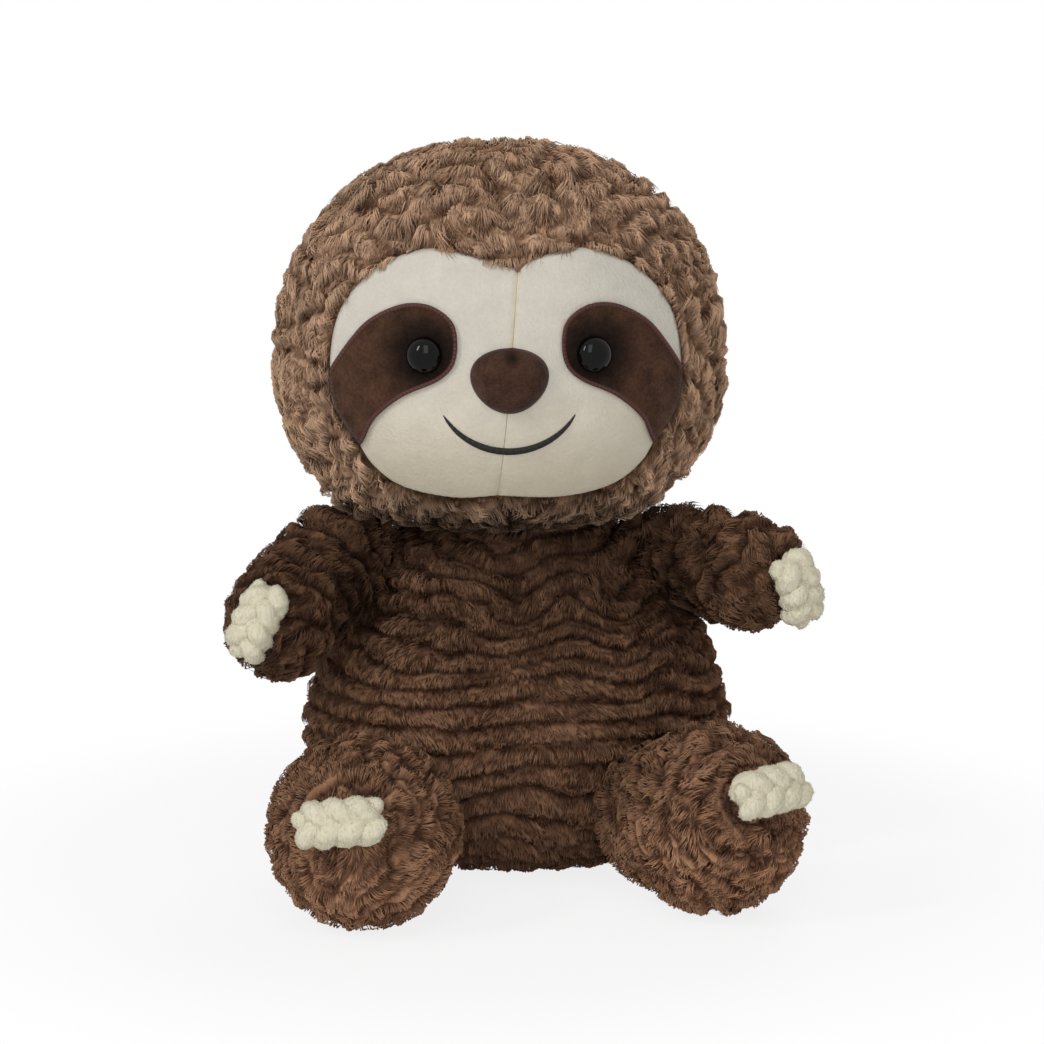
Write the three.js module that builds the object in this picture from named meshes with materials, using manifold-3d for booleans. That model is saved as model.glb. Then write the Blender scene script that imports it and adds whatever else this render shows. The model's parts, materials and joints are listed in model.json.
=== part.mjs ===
// A plush sloth that sits upright. Millimetres, +Z up, the face towards -Y, and the origin on the
// floor under the middle of the body. Each cover is a sewn bag of plush with its filling inside.
import * as THREE from "three";
import { mergeVertices } from "three/addons/utils/BufferGeometryUtils.js";
import Module from "manifold-3d";

const wasm = await Module();
wasm.setup();

// Cloth, and the gaps between neighbouring pieces
const fit = 0.3;
const seamGap = 0.5;
const plush = 3.2;
const furrow = 2.2;
const velour = 1.6;
const faceSink = 1;
const patchCloth = 0.9;
const overrun = 20;

// Body: a pear that the floor presses flat underneath
const bodyHalfWidth = 65;
const bodyFront = 48;
const bodyBack = 47;
const bodyHeight = 110;
const bodyWidestHeight = 43;
const bodyTaperShare = 0.215;
const bodyRoll = 10;
const bodyRollsFrom = 12;
const bodyRollsTo = 94;
const floorPress = 0.5;
const pouchHeight = 18;

// Neck: the head sits on a dome, so that it can turn and nod on the seam
const neckDome = 55;
const neckSide = -1.5;
const neckFront = -1;
const neckBelowTop = 0.5;
const neckOpening = 10;
const neckRingHalfWidth = 23;
const neckRingThickness = 1.2;
const neckTrim = 28;
const neckSides = 36;

// Head: a little wider than high, set a little to its right and turned a little to its left
const headHalfWidth = 67;
const headFront = 60;
const headBack = 56;
const headAbove = 64;
const headBelow = 51;
const headSettle = 7.5;
const headSide = -4.8;
const headForward = -4;
const headTurn = 2.8;
const headRoll = 18;
const headRollsBelow = 30;

// Face: two cream panels that meet at a slanting seam
const faceHalfWidth = 50;
const faceHalfHeight = 36;
const faceSeamSlant = 4.8;
const faceDepth = 70;

// One side's edge of the face from the top notch to the chin, in shares of the face's half sizes
const faceEdgeShares = [
  [0.16, 0.945],
  [0.32, 0.99],
  [0.48, 1],
  [0.73, 0.85],
  [0.926, 0.555],
  [1, 0.175],
  [0.98, -0.22],
  [0.86, -0.5],
  [0.772, -0.714],
  [0.6, -0.894],
  [0.314, -0.975],
];
const topNotchShare = 0.86;
const chinNotchShare = -0.95;
const faceEdgeSteps = 22;

// The right eye patch's edge, in the same shares. Its outer end runs out under the fur.
const patchShares = [
  [0.304, 0.32],
  [0.334, 0.472],
  [0.45, 0.578],
  [0.61, 0.575],
  [0.79, 0.464],
  [0.94, 0.28],
  [1.08, 0],
  [1.08, -0.3],
  [0.96, -0.52],
  [0.85, -0.54],
  [0.764, -0.305],
  [0.606, -0.11],
  [0.41, 0.022],
  [0.324, 0.144],
];
const patchEdgeSteps = 32;

// Eyes, nose and mouth
const eyeSpacing = 47.4;
const eyeHeight = 7.5;
const eyeRadius = 5.2;
const eyeDome = 3.9;
const eyeDomeSteps = 4;
const eyeStemRadius = 1.6;
const eyeStemLength = 7;
const washerRadius = 6;
const washerThickness = 2;
const edgingWidth = 1.5;
const edgingHeight = 1.3;
const noseHalfWidth = 11;
const noseHalfHeight = 9.3;
const noseThickness = 6.5;
const noseHeight = 0.5;
const noseWideningShare = 0.16;
const smileRadius = 21.7;
const smileHalfWidth = 18.6;
const smileBottom = 19.7;
const smileThread = 1.7;
const smileTaperShare = 0.7;
const smileSteps = 20;
const threadHeight = 0.7;

// Arms: the left one hangs from a bow, and the right one is held straight out. Sides are as seen
// from the front. All angles are in degrees, and a bearing counts from straight ahead towards +X.
const shoulderHeight = 92;
const shoulderStandOff = 4;
const shoulderForward = 7.3;
const armRoot = 16;
const armTip = 17.3;
const armOpening = 7;
const leftArmBearing = -43;
const leftArmReach = 31;
const leftArmDrop = 13.5;
const leftArmBow = 4.9;
const rightArmBearing = 40;
const rightArmReach = 32.5;
const rightArmDrop = -1.5;
const rightArmBow = 1;
const armSwing = [-10, 12];

// Legs: each turns in a round seat at its hip, whose bearing is seen from the middle of the body
const hipHeight = 25.5;
const hipStandOff = 13.3;
const legRoot = 22.5;
const legTip = 28;
const legOpening = 10;
const leftHipBearing = -32;
const leftLegBearing = -10;
const leftLegReach = 22;
const rightHipBearing = 37;
const rightLegBearing = 46;
const rightLegReach = 15;

// Claws: a flat plait of thick yarn across each paw's tip
const armClawLength = 25;
const legClawLength = 27.5;
const clawHalfWidth = 6.3;
const clawHalfHeight = 4.2;
const clawBulge = 1.1;
const clawSink = 1.3;
const clawCount = 4;
const ringsPerClaw = 4;
const clawSides = 12;
const clawEndRoundness = 4;

// How finely the side of a form is walked along to place its rolls
const sideSteps = 300;

const colours = {
  plush: 0x5a4032,
  headPlush: 0x8f6f57,
  velour: 0xe8e2d2,
  patch: 0x4a3128,
  edging: 0x3a211c,
  nose: 0x4f382d,
  black: 0x0c0b0b,
  yarn: 0xf2ecd6,
  fibre: 0xf4f4f0,
  pellets: 0xd8d4c8,
  washer: 0xdcdcda,
  thread: 0x4a362b,
};

const degrees = Math.PI / 180;

// A closed surface from rings of points that climb from a first pole to a last one.
function closeRings(firstPole, rings, lastPole) {
  const around = rings[0].length;
  const points = [firstPole, ...rings.flat(), lastPole];
  const last = points.length - 1;
  const faces = [];
  for (let j = 0; j < around; j += 1) {
    const k = (j + 1) % around;
    const top = 1 + (rings.length - 1) * around;
    faces.push([0, 1 + k, 1 + j]);
    faces.push([last, top + j, top + k]);
    for (let i = 0; i + 1 < rings.length; i += 1) {
      const low = 1 + i * around;
      const high = low + around;
      faces.push([low + j, low + k, high + k]);
      faces.push([low + j, high + k, high + j]);
    }
  }
  const vertProperties = new Float32Array(points.flatMap((p) => [p.x, p.y, p.z]));
  const triVerts = new Uint32Array(faces.flat());
  return new wasm.Manifold(new wasm.Mesh({ numProp: 3, vertProperties, triVerts }));
}

// A three.js geometry as a solid.
function solidOf(geometry) {
  const bare = geometry.clone();
  bare.deleteAttribute("normal");
  bare.deleteAttribute("uv");
  const merged = mergeVertices(bare);
  const corners = merged.index.array;
  const faces = [];
  for (let i = 0; i < corners.length; i += 3) {
    const face = [corners[i], corners[i + 1], corners[i + 2]];
    if (new Set(face).size === 3) faces.push(...face);
  }
  const vertProperties = new Float32Array(merged.attributes.position.array);
  const triVerts = new Uint32Array(faces);
  return new wasm.Manifold(new wasm.Mesh({ numProp: 3, vertProperties, triVerts }));
}

function piece(name, solid, colour, roughness, home) {
  const made = solid.getMesh();
  const geometry = new THREE.BufferGeometry();
  const places = new THREE.BufferAttribute(new Float32Array(made.vertProperties), 3);
  geometry.setAttribute("position", places);
  geometry.setIndex(new THREE.BufferAttribute(new Uint32Array(made.triVerts), 1));
  geometry.computeVertexNormals();
  const material = new THREE.MeshStandardMaterial({ color: colour, roughness, metalness: 0 });
  const mesh = new THREE.Mesh(geometry, material);
  mesh.name = name;
  home.add(mesh);
}

function ball(radius, centre, around = 24) {
  const geometry = new THREE.SphereGeometry(radius, around, around / 2 + 2);
  geometry.translate(centre.x, centre.y, centre.z);
  return solidOf(geometry);
}

// A rod from one point to another.
function rod(radius, from, to, sides = 16) {
  const way = to.clone().sub(from);
  const geometry = new THREE.CylinderGeometry(radius, radius, way.length(), sides);
  const turn = new THREE.Quaternion().setFromUnitVectors(up, way.clone().normalize());
  geometry.applyQuaternion(turn);
  const middle = from.clone().add(to).multiplyScalar(1 / 2);
  geometry.translate(middle.x, middle.y, middle.z);
  return solidOf(geometry);
}

const up = new THREE.Vector3(0, 1, 0);
const vertical = new THREE.Vector3(0, 0, 1);

// A form is a stack of ellipses: above and below its widest ring it closes with its own roundness,
// and its front and back have their own depths. Its middle is at the widest ring.
const bodyForm = {
  halfWidth: bodyHalfWidth,
  front: bodyFront,
  back: bodyBack,
  above: bodyHeight - bodyWidestHeight,
  below: bodyWidestHeight + floorPress,
  taper: bodyTaperShare,
  roundAbove: 2.6,
  roundBelow: 3,
  around: 28,
  levels: 8,
  roll: bodyRoll,
  rollsFrom: bodyRollsFrom - bodyWidestHeight,
  rollsTo: bodyRollsTo - bodyWidestHeight,
};

const headForm = {
  halfWidth: headHalfWidth,
  front: headFront,
  back: headBack,
  above: headAbove,
  below: headBelow,
  taper: 0,
  roundAbove: 2.2,
  roundBelow: 2.3,
  around: 32,
  levels: 8,
  roll: headRoll,
  rollsFrom: -headRollsBelow,
  rollsTo: headAbove,
};

// How wide a form is at a height, as a share of its widest ring.
function ringShare(form, grow, height) {
  const reach = (height > 0 ? form.above : form.below) + grow;
  const round = height > 0 ? form.roundAbove : form.roundBelow;
  const climb = Math.min(1, Math.abs(height) / reach);
  const narrowing = height > 0 ? 1 - form.taper * climb : 1;
  return narrowing * Math.pow(1 - Math.pow(climb, round), 1 / round);
}

// One ring of a form, at an angle up from its widest one. Every second point is enough where none is seen.
function ringAt(form, grow, angle, every = 1) {
  const round = angle > 0 ? form.roundAbove : form.roundBelow;
  const reach = (angle > 0 ? form.above : form.below) + grow;
  const height = Math.sign(angle) * reach * Math.pow(Math.abs(Math.sin(angle)), 2 / round);
  const share = ringShare(form, grow, height);
  const ring = [];
  for (let j = 0; j < form.around; j += every) {
    const turn = (2 * Math.PI * j) / form.around;
    const depth = Math.sin(turn) < 0 ? form.front : form.back;
    const x = (form.halfWidth + grow) * share * Math.cos(turn);
    const y = (depth + grow) * share * Math.sin(turn);
    ring.push(new THREE.Vector3(x, y, height));
  }
  return ring;
}

function closeForm(form, grow, rings) {
  const low = new THREE.Vector3(0, 0, -form.below - grow);
  const high = new THREE.Vector3(0, 0, form.above + grow);
  return closeRings(low, rings, high);
}

function swollen(form, grow, every = 1) {
  const rings = [];
  for (let i = every - form.levels; i < form.levels; i += every) {
    rings.push(ringAt(form, grow, (Math.PI / 2) * (i / form.levels), every));
  }
  return closeForm(form, grow, rings);
}

// The rings from a form's widest one to its pole, up or down. They lie half a roll apart along the side,
// and every second one is a furrow. Past the rolls they lie further apart and none is drawn in.
function rollRings(form, direction) {
  const rings = [];
  let last = ringAt(form, 0, 0)[0];
  let run = 0;
  let next = form.roll / 2;
  let drawnIn = true;
  for (let i = 1; i < sideSteps; i += 1) {
    const angle = direction * (Math.PI / 2) * (i / sideSteps);
    const point = ringAt(form, 0, angle)[0];
    run += point.distanceTo(last);
    last = point;
    if (run < next) continue;
    const inRolls = point.z > form.rollsFrom && point.z < form.rollsTo;
    rings.push(ringAt(form, drawnIn && inRolls ? -furrow : 0, angle));
    drawnIn = !drawnIn;
    next += inRolls ? form.roll / 2 : 2 * form.roll;
  }
  return rings;
}

// The outside of a form whose long pile lies in rolls from side to side.
function rolled(form) {
  const down = rollRings(form, -1).reverse();
  return closeForm(form, 0, [...down, ringAt(form, 0, 0), ...rollRings(form, 1)]);
}

// The point of a form's front at a place given across and up, and the way that it faces there.
function frontPoint(form, grow, x, height) {
  const share = ringShare(form, grow, height);
  const across = x / (form.halfWidth + grow);
  const y = -(form.front + grow) * Math.sqrt(Math.max(0, share * share - across * across));
  return new THREE.Vector3(x, y, height);
}

function facing(form, point) {
  const depth = point.y < 0 ? form.front : form.back;
  const step = form.above / 1000;
  const higher = ringShare(form, 0, point.z + step);
  const lower = ringShare(form, 0, point.z - step);
  return new THREE.Vector3(
    point.x / (form.halfWidth * form.halfWidth),
    point.y / (depth * depth),
    (lower * lower - higher * higher) / (4 * step),
  ).normalize();
}

// A limb swells along a bent middle line from its root to its tip, and both ends are round.
function limbSolid(limb, grow) {
  const line = new THREE.CatmullRomCurve3(limb.line);
  const rings = [];
  const addRing = (centre, along, radius) => {
    const side = new THREE.Vector3().crossVectors(along, vertical).normalize();
    const top = new THREE.Vector3().crossVectors(side, along);
    const ring = [];
    for (let j = 0; j < limb.around; j += 1) {
      const turn = (2 * Math.PI * j) / limb.around;
      const point = centre.clone().addScaledVector(side, -radius * Math.cos(turn));
      ring.push(point.addScaledVector(top, radius * Math.sin(turn)));
    }
    rings.push(ring);
  };
  const start = line.getPoint(0);
  const startWay = line.getTangent(0);
  const end = line.getPoint(1);
  const endWay = line.getTangent(1);
  const rootRadius = limb.root + grow;
  const tipRadius = limb.tip + grow;
  for (let i = 1; i <= limb.capRings; i += 1) {
    const angle = (Math.PI / 2) * (i / limb.capRings - 1);
    const centre = start.clone().addScaledVector(startWay, rootRadius * Math.sin(angle));
    addRing(centre, startWay, rootRadius * Math.cos(angle));
  }
  for (let i = 1; i < limb.steps; i += 1) {
    const share = i / limb.steps;
    const swell = share * share * (3 - 2 * share);
    const radius = rootRadius + (tipRadius - rootRadius) * swell;
    addRing(line.getPoint(share), line.getTangent(share), radius);
  }
  for (let i = 0; i < limb.capRings; i += 1) {
    const angle = (Math.PI / 2) * (i / limb.capRings);
    const centre = end.clone().addScaledVector(endWay, tipRadius * Math.sin(angle));
    addRing(centre, endWay, tipRadius * Math.cos(angle));
  }
  const rootPole = start.clone().addScaledVector(startWay, -rootRadius);
  const tipPole = end.clone().addScaledVector(endWay, tipRadius);
  return closeRings(rootPole, rings, tipPole);
}

// A vector from a bearing, counted from straight ahead towards +X, and an angle above level.
function heading(bearing, rise) {
  const level = Math.cos(rise * degrees);
  return new THREE.Vector3(
    level * Math.sin(bearing * degrees),
    -level * Math.cos(bearing * degrees),
    Math.sin(rise * degrees),
  );
}

const floorBlock = solidOf(
  new THREE.BoxGeometry(
    2 * (bodyHalfWidth + legTip) + overrun,
    2 * (bodyHalfWidth + bodyFront + legTip),
    overrun,
  ).translate(0, 0, -overrun / 2),
);

// Where each limb's root ball is centred, and its line from there
const shoulderShare = ringShare(bodyForm, 0, shoulderHeight - bodyWidestHeight);
const shoulderSide = bodyHalfWidth * shoulderShare + shoulderStandOff;

function armLine(bearing, reach, drop, bow) {
  const out = heading(bearing, 0);
  const middle = out.clone().multiplyScalar(reach / 2);
  middle.z = bow - drop / 2;
  const hand = out.clone().multiplyScalar(reach);
  hand.z = -drop;
  return [new THREE.Vector3(), middle, hand];
}

function hipPlace(bearing) {
  const share = ringShare(bodyForm, 0, hipHeight - bodyWidestHeight);
  const x = bodyHalfWidth * share * Math.sin(bearing * degrees);
  const y = -bodyFront * share * Math.cos(bearing * degrees);
  const wall = new THREE.Vector3(x, y, 0);
  const out = facing(bodyForm, wall);
  return wall.addScaledVector(out, hipStandOff).setZ(hipHeight);
}

function legLine(bearing, reach) {
  const foot = heading(bearing, 0).multiplyScalar(reach);
  foot.z = legTip - floorPress - hipHeight;
  return [new THREE.Vector3(), foot.clone().multiplyScalar(1 / 2), foot];
}

const armShape = {
  isArm: true,
  root: armRoot,
  tip: armTip,
  opening: armOpening,
  clawLength: armClawLength,
  around: 14,
  steps: 4,
  capRings: 4,
};
const legShape = {
  isArm: false,
  root: legRoot,
  tip: legTip,
  opening: legOpening,
  clawLength: legClawLength,
  around: 16,
  steps: 3,
  capRings: 4,
};

// The claws of each limb face along a bearing and a rise, and are rolled about that way.
const limbs = [
  {
    name: "arm_left",
    place: new THREE.Vector3(-shoulderSide, -shoulderForward, shoulderHeight),
    bearing: leftArmBearing,
    line: armLine(leftArmBearing, leftArmReach, leftArmDrop, leftArmBow),
    claws: { bearing: -18, rise: 12, roll: 68 },
    ...armShape,
  },
  {
    name: "arm_right",
    place: new THREE.Vector3(shoulderSide, -shoulderForward, shoulderHeight),
    bearing: rightArmBearing,
    line: armLine(rightArmBearing, rightArmReach, rightArmDrop, rightArmBow),
    claws: { bearing: 39, rise: -5, roll: 112 },
    ...armShape,
  },
  {
    name: "leg_left",
    place: hipPlace(leftHipBearing),
    line: legLine(leftLegBearing, leftLegReach),
    claws: { bearing: -11, rise: 19, roll: 8 },
    ...legShape,
  },
  {
    name: "leg_right",
    place: hipPlace(rightHipBearing),
    line: legLine(rightLegBearing, rightLegReach),
    claws: { bearing: 36, rise: 27, roll: 3 },
    ...legShape,
  },
];

const root = new THREE.Group();
const torso = new THREE.Group();
root.add(torso);

// Limbs: cover open at the root, filling inside, claws across the tip. The claws' plait swells
// into lobes on one side and then the other, and bends round the paw.
function clawSolid(limb) {
  const paw = limb.line[2];
  const towards = heading(limb.claws.bearing, limb.claws.rise);
  const level = new THREE.Vector3().crossVectors(towards, vertical).normalize();
  const along = level.applyAxisAngle(towards, limb.claws.roll * degrees);
  const across = new THREE.Vector3().crossVectors(towards, along);
  const reach = limb.tip + clawHalfHeight - clawSink;
  const rings = [];
  const ringCount = ringsPerClaw * clawCount;
  const placeAt = (share) => {
    const way = towards.clone().applyAxisAngle(across, (share * limb.clawLength) / 2 / reach);
    return { way, centre: paw.clone().addScaledVector(way, reach) };
  };
  for (let i = 1; i < ringCount; i += 1) {
    const share = (2 * i) / ringCount - 1;
    const { way, centre } = placeAt(share);
    const ending = Math.pow(1 - Math.pow(Math.abs(share), clawEndRoundness), 1 / clawEndRoundness);
    const ring = [];
    for (let j = 0; j < clawSides; j += 1) {
      const turn = (2 * Math.PI * j) / clawSides;
      const row = Math.cos(turn) < 0 ? 0 : Math.PI;
      const lobe = Math.cos(Math.PI * clawCount * share + row);
      const out = ending * (clawHalfWidth + clawBulge * lobe) * Math.cos(turn);
      const rise = ending * clawHalfHeight * Math.sin(turn);
      ring.push(centre.clone().addScaledVector(across, out).addScaledVector(way, rise));
    }
    rings.push(ring);
  }
  const solid = closeRings(placeAt(-1).centre, rings, placeAt(1).centre);
  return solid.subtract(limbSolid(limb, fit));
}

// The room that the body leaves for a limb. A leg turns in a round seat. An arm lies close along the
// body, which gives way to it at both ends and in the middle of its swing.
function swingRoom(limb) {
  if (!limb.isArm) return ball(limb.root + seamGap, limb.place);
  const way = heading(limb.bearing, 0);
  const hinge = new THREE.Vector3(way.y, -way.x, 0);
  const loose = limbSolid(limb, seamGap);
  const [low, high] = armSwing;
  let room = null;
  for (const angle of [low, (low + high) / 2, high]) {
    const turn = new THREE.Matrix4().makeRotationAxis(hinge, angle * degrees);
    const turned = loose.transform(turn.setPosition(limb.place).elements);
    room = room ? room.add(turned) : turned;
  }
  return room;
}

let sockets = null;
let fillingRoom = null;
for (const limb of limbs) {
  const home = new THREE.Group();
  home.position.copy(limb.place);
  root.add(home);
  const floor = floorBlock.translate([0, 0, -limb.place.z]);
  const rootWay = limb.line[1].clone().normalize();
  const rootEnd = rootWay.clone().multiplyScalar(-limb.root - overrun);
  const rootMouth = rootWay.clone().multiplyScalar(-limb.root + 2 * plush);
  const hollow = limbSolid(limb, -plush);
  const mouth = rod(limb.opening, rootMouth, rootEnd);
  const cover = limbSolid(limb, 0).subtract(hollow).subtract(mouth).subtract(floor);
  const filling = limbSolid(limb, -plush - fit);
  piece(limb.name + "_cover", cover, colours.plush, 1, home);
  piece(limb.name + "_filling", filling, colours.fibre, 1, home);
  piece(limb.name + "_claws", clawSolid(limb), colours.yarn, 0.95, home);
  const socket = swingRoom(limb);
  const wider = ball(limb.root + 2 * plush, limb.place);
  sockets = sockets ? sockets.add(socket) : socket;
  fillingRoom = fillingRoom ? fillingRoom.add(wider) : wider;
}

// Body: cover, filling above a pouch of pellets, and the dome that carries the head
const neck = new THREE.Vector3(neckSide, neckFront, bodyHeight - neckBelowTop - neckDome);
const neckTop = new THREE.Vector3(neckSide, neckFront, bodyHeight + overrun);
const neckDomeBall = ball(neckDome, neck, neckSides);
const trimmed = rod(neckTrim, neck, neckTop, neckSides).subtract(neckDomeBall);
const neckHole = rod(neckOpening, neck, neckTop);
const bodyLift = [0, 0, bodyWidestHeight];

function bodySolid(grow, every) {
  return swollen(bodyForm, grow, every).translate(bodyLift);
}

function slab(from, to) {
  const half = bodyHalfWidth + overrun;
  const geometry = new THREE.BoxGeometry(2 * half, 2 * half, to - from);
  return solidOf(geometry.translate(0, 0, (from + to) / 2));
}

const bodyCover = rolled(bodyForm)
  .translate(bodyLift)
  .subtract(bodySolid(-plush, 2))
  .subtract(trimmed)
  .subtract(neckHole)
  .subtract(sockets)
  .subtract(floorBlock);
const bodyInside = bodySolid(-plush - fit, 2).subtract(fillingRoom).subtract(trimmed);
const bodyFilling = bodyInside.subtract(slab(-overrun, pouchHeight + fit));
const seatPouch = bodyInside.subtract(slab(pouchHeight, bodyHeight + overrun));
piece("body_cover", bodyCover, colours.plush, 1, torso);
piece("body_filling", bodyFilling, colours.fibre, 1, torso);
piece("seat_pouch", seatPouch, colours.pellets, 1, torso);

// Neck seam: a ring of turned-in cloth between the body and the head
const ringInside = neckDome + seamGap;
const ringOutside = ringInside + neckRingThickness;
const neckRing = ball(ringOutside, neck, neckSides)
  .subtract(ball(ringInside, neck, neckSides))
  .intersect(rod(neckRingHalfWidth, neck, neckTop, neckSides))
  .subtract(neckHole);
piece("neck_seam_ring", neckRing, colours.thread, 1, root);

// Head: every piece is made round the head's middle, then the group is set on the neck and turned
const head = new THREE.Group();
head.position.set(headSide, headForward, bodyHeight - headSettle + headBelow);
head.rotation.z = headTurn * degrees;
root.add(head);
head.updateMatrixWorld(true);
const neckInHead = head.worldToLocal(neck.clone());
const headDish = ball(ringOutside + seamGap, neckInHead, neckSides);

function seamAt(heightShare) {
  const height = heightShare * faceHalfHeight;
  return new THREE.Vector3(height * Math.tan(faceSeamSlant * degrees), height, 0);
}

function faceEdge() {
  const place = (side) => (share) =>
    new THREE.Vector3(side * share[0] * faceHalfWidth, share[1] * faceHalfHeight, 0);
  const right = faceEdgeShares.map(place(1));
  const left = faceEdgeShares.map(place(-1)).reverse();
  const top = seamAt(topNotchShare);
  const chin = seamAt(chinNotchShare);
  const rightCurve = new THREE.CatmullRomCurve3([top, ...right, chin]);
  const leftCurve = new THREE.CatmullRomCurve3([chin, ...left, top]);
  const points = [...rightCurve.getPoints(faceEdgeSteps), ...leftCurve.getPoints(faceEdgeSteps)];
  return points.filter((p, i) => i === 0 || p.distanceTo(points[i - 1]) > 0).slice(0, -1);
}

function patchEdge(side) {
  const points = patchShares.map(
    (share) => new THREE.Vector3(side * share[0] * faceHalfWidth, share[1] * faceHalfHeight, 0),
  );
  return new THREE.CatmullRomCurve3(points, true).getPoints(patchEdgeSteps).slice(0, -1);
}

// An outline moved out by a distance, whichever way it runs.
function widen(points, distance) {
  const count = points.length;
  const turning = THREE.ShapeUtils.area(points) > 0 ? 1 : -1;
  return points.map((point, i) => {
    const before = points[(i + count - 1) % count];
    const after = points[(i + 1) % count];
    const run = after.clone().sub(before).normalize();
    return new THREE.Vector3(
      point.x + turning * run.y * distance,
      point.y - turning * run.x * distance,
      0,
    );
  });
}

// A block with the given outline that reaches forward from the middle of the head.
function faceBlock(points) {
  const shape = new THREE.Shape(points.map((p) => new THREE.Vector2(p.x, p.y)));
  const settings = { depth: faceDepth, bevelEnabled: false };
  return solidOf(new THREE.ExtrudeGeometry(shape, settings).rotateX(Math.PI / 2));
}

const panelTop = -faceSink;
const panelUnder = panelTop - velour;
const appliedFrom = panelTop + fit;
const faceOutline = faceEdge();
const faceInset = faceBlock(widen(faceOutline, -fit / 2));
const panelSolid = swollen(headForm, panelTop);
const underApplied = swollen(headForm, appliedFrom);
const underPanel = swollen(headForm, panelUnder - fit);

// A layer of cloth on the face, as thick as given
function layer(thickness) {
  return swollen(headForm, appliedFrom + thickness).subtract(underApplied);
}

// Half of space on one side of the slanting face seam
function sideOfSeam(side) {
  const size = 2 * (headHalfWidth + overrun);
  const half = new THREE.BoxGeometry(size, 2 * size, 2 * size);
  half.translate(side * (size / 2 + fit / 2), 0, 0);
  return solidOf(half.rotateY(faceSeamSlant * degrees));
}

const sides = [
  { name: "left", side: -1 },
  { name: "right", side: 1 },
];

let stemRoom = null;
const eyes = sides.map(({ name, side }) => {
  const seat = frontPoint(headForm, appliedFrom + patchCloth, (side * eyeSpacing) / 2, eyeHeight);
  const out = facing(headForm, seat);
  const base = seat.addScaledVector(out, fit);
  const at = (distance) => base.clone().addScaledVector(out, distance);
  const washerTop = panelUnder - appliedFrom - patchCloth - fit;
  const room = rod(washerRadius + fit, at(panelUnder), at(-eyeStemLength - fit));
  stemRoom = stemRoom ? stemRoom.add(room) : room;
  return { name, side, out, base, at, washerTop };
});

function eyeSolid(eye) {
  const dome = [];
  for (let i = 0; i < eyeDomeSteps; i += 1) {
    const angle = (Math.PI / 2) * (i / eyeDomeSteps);
    dome.push(new THREE.Vector2(eyeRadius * Math.cos(angle), eyeDome * Math.sin(angle)));
  }
  dome.push(new THREE.Vector2(0, eyeDome));
  const profile = [
    new THREE.Vector2(0, -eyeStemLength),
    new THREE.Vector2(eyeStemRadius, -eyeStemLength),
    new THREE.Vector2(eyeStemRadius, 0),
    ...dome,
  ];
  const geometry = new THREE.LatheGeometry(profile, 20);
  geometry.applyQuaternion(new THREE.Quaternion().setFromUnitVectors(up, eye.out));
  geometry.translate(eye.base.x, eye.base.y, eye.base.z);
  return solidOf(geometry);
}

const faceHole = faceBlock(widen(faceOutline, fit / 2));
const headCover = rolled(headForm)
  .subtract(swollen(headForm, -plush, 2))
  .subtract(faceHole)
  .subtract(headDish);
const headFilling = swollen(headForm, -plush - fit, 2).subtract(headDish).subtract(stemRoom);
piece("head_cover", headCover, colours.headPlush, 1, head);
piece("head_filling", headFilling, colours.fibre, 1, head);

const faceCloth = panelSolid.subtract(swollen(headForm, panelUnder)).intersect(faceInset);
for (const eye of eyes) {
  const stemHole = rod(eyeStemRadius + fit, eye.at(eyeDome), eye.at(-eyeStemLength - overrun));
  const panel = faceCloth.intersect(sideOfSeam(eye.side)).subtract(stemHole);
  const edge = patchEdge(eye.side);
  const edgingInside = faceBlock(widen(edge, -edgingWidth / 2));
  const patchBlock = faceBlock(widen(edge, -edgingWidth / 2 - fit));
  const patch = layer(patchCloth).intersect(patchBlock).intersect(faceInset).subtract(stemHole);
  const edgingBand = faceBlock(widen(edge, edgingWidth / 2)).subtract(edgingInside);
  const edging = layer(edgingHeight).intersect(edgingBand).intersect(faceInset);
  const washer = rod(washerRadius, eye.at(eye.washerTop), eye.at(eye.washerTop - washerThickness))
    .intersect(underPanel)
    .subtract(stemHole);
  piece("face_panel_" + eye.name, panel, colours.velour, 0.9, head);
  piece("eye_patch_" + eye.name, patch, colours.patch, 0.9, head);
  piece("eye_patch_edging_" + eye.name, edging, colours.edging, 0.6, head);
  piece("eye_" + eye.name, eyeSolid(eye), colours.black, 0.08, head);
  piece("eye_washer_" + eye.name, washer, colours.washer, 0.4, head);
}

// Nose: a small pillow, wider above its middle
const noseGeometry = new THREE.SphereGeometry(1, 18, 12);
const nosePoints = noseGeometry.attributes.position;
for (let i = 0; i < nosePoints.count; i += 1) {
  nosePoints.setX(i, nosePoints.getX(i) * (1 + noseWideningShare * nosePoints.getY(i)));
}
noseGeometry.rotateX(Math.PI / 2);
noseGeometry.scale(noseHalfWidth, noseThickness, noseHalfHeight);
const noseSeat = frontPoint(headForm, appliedFrom, 0, noseHeight);
noseGeometry.translate(noseSeat.x, noseSeat.y, noseSeat.z);
piece("nose", solidOf(noseGeometry).subtract(underApplied), colours.nose, 0.95, head);

// Mouth: a stitched arc, thickest in the middle
function smileOutline() {
  const half = Math.asin(smileHalfWidth / smileRadius);
  const middle = smileRadius - smileBottom;
  const upper = [];
  const lower = [];
  for (let i = 0; i <= smileSteps; i += 1) {
    const share = (2 * i) / smileSteps - 1;
    const angle = share * half;
    const thick = (smileThread / 2) * (1 - smileTaperShare * share * share);
    for (const [line, radius] of [
      [upper, smileRadius - thick],
      [lower, smileRadius + thick],
    ]) {
      line.push(new THREE.Vector3(radius * Math.sin(angle), middle - radius * Math.cos(angle), 0));
    }
  }
  return [...lower, ...upper.reverse()];
}
const mouth = layer(threadHeight).intersect(faceBlock(smileOutline()));
piece("mouth_embroidery", mouth, colours.black, 0.6, head);

export default root;
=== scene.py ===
import json
import math

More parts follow.
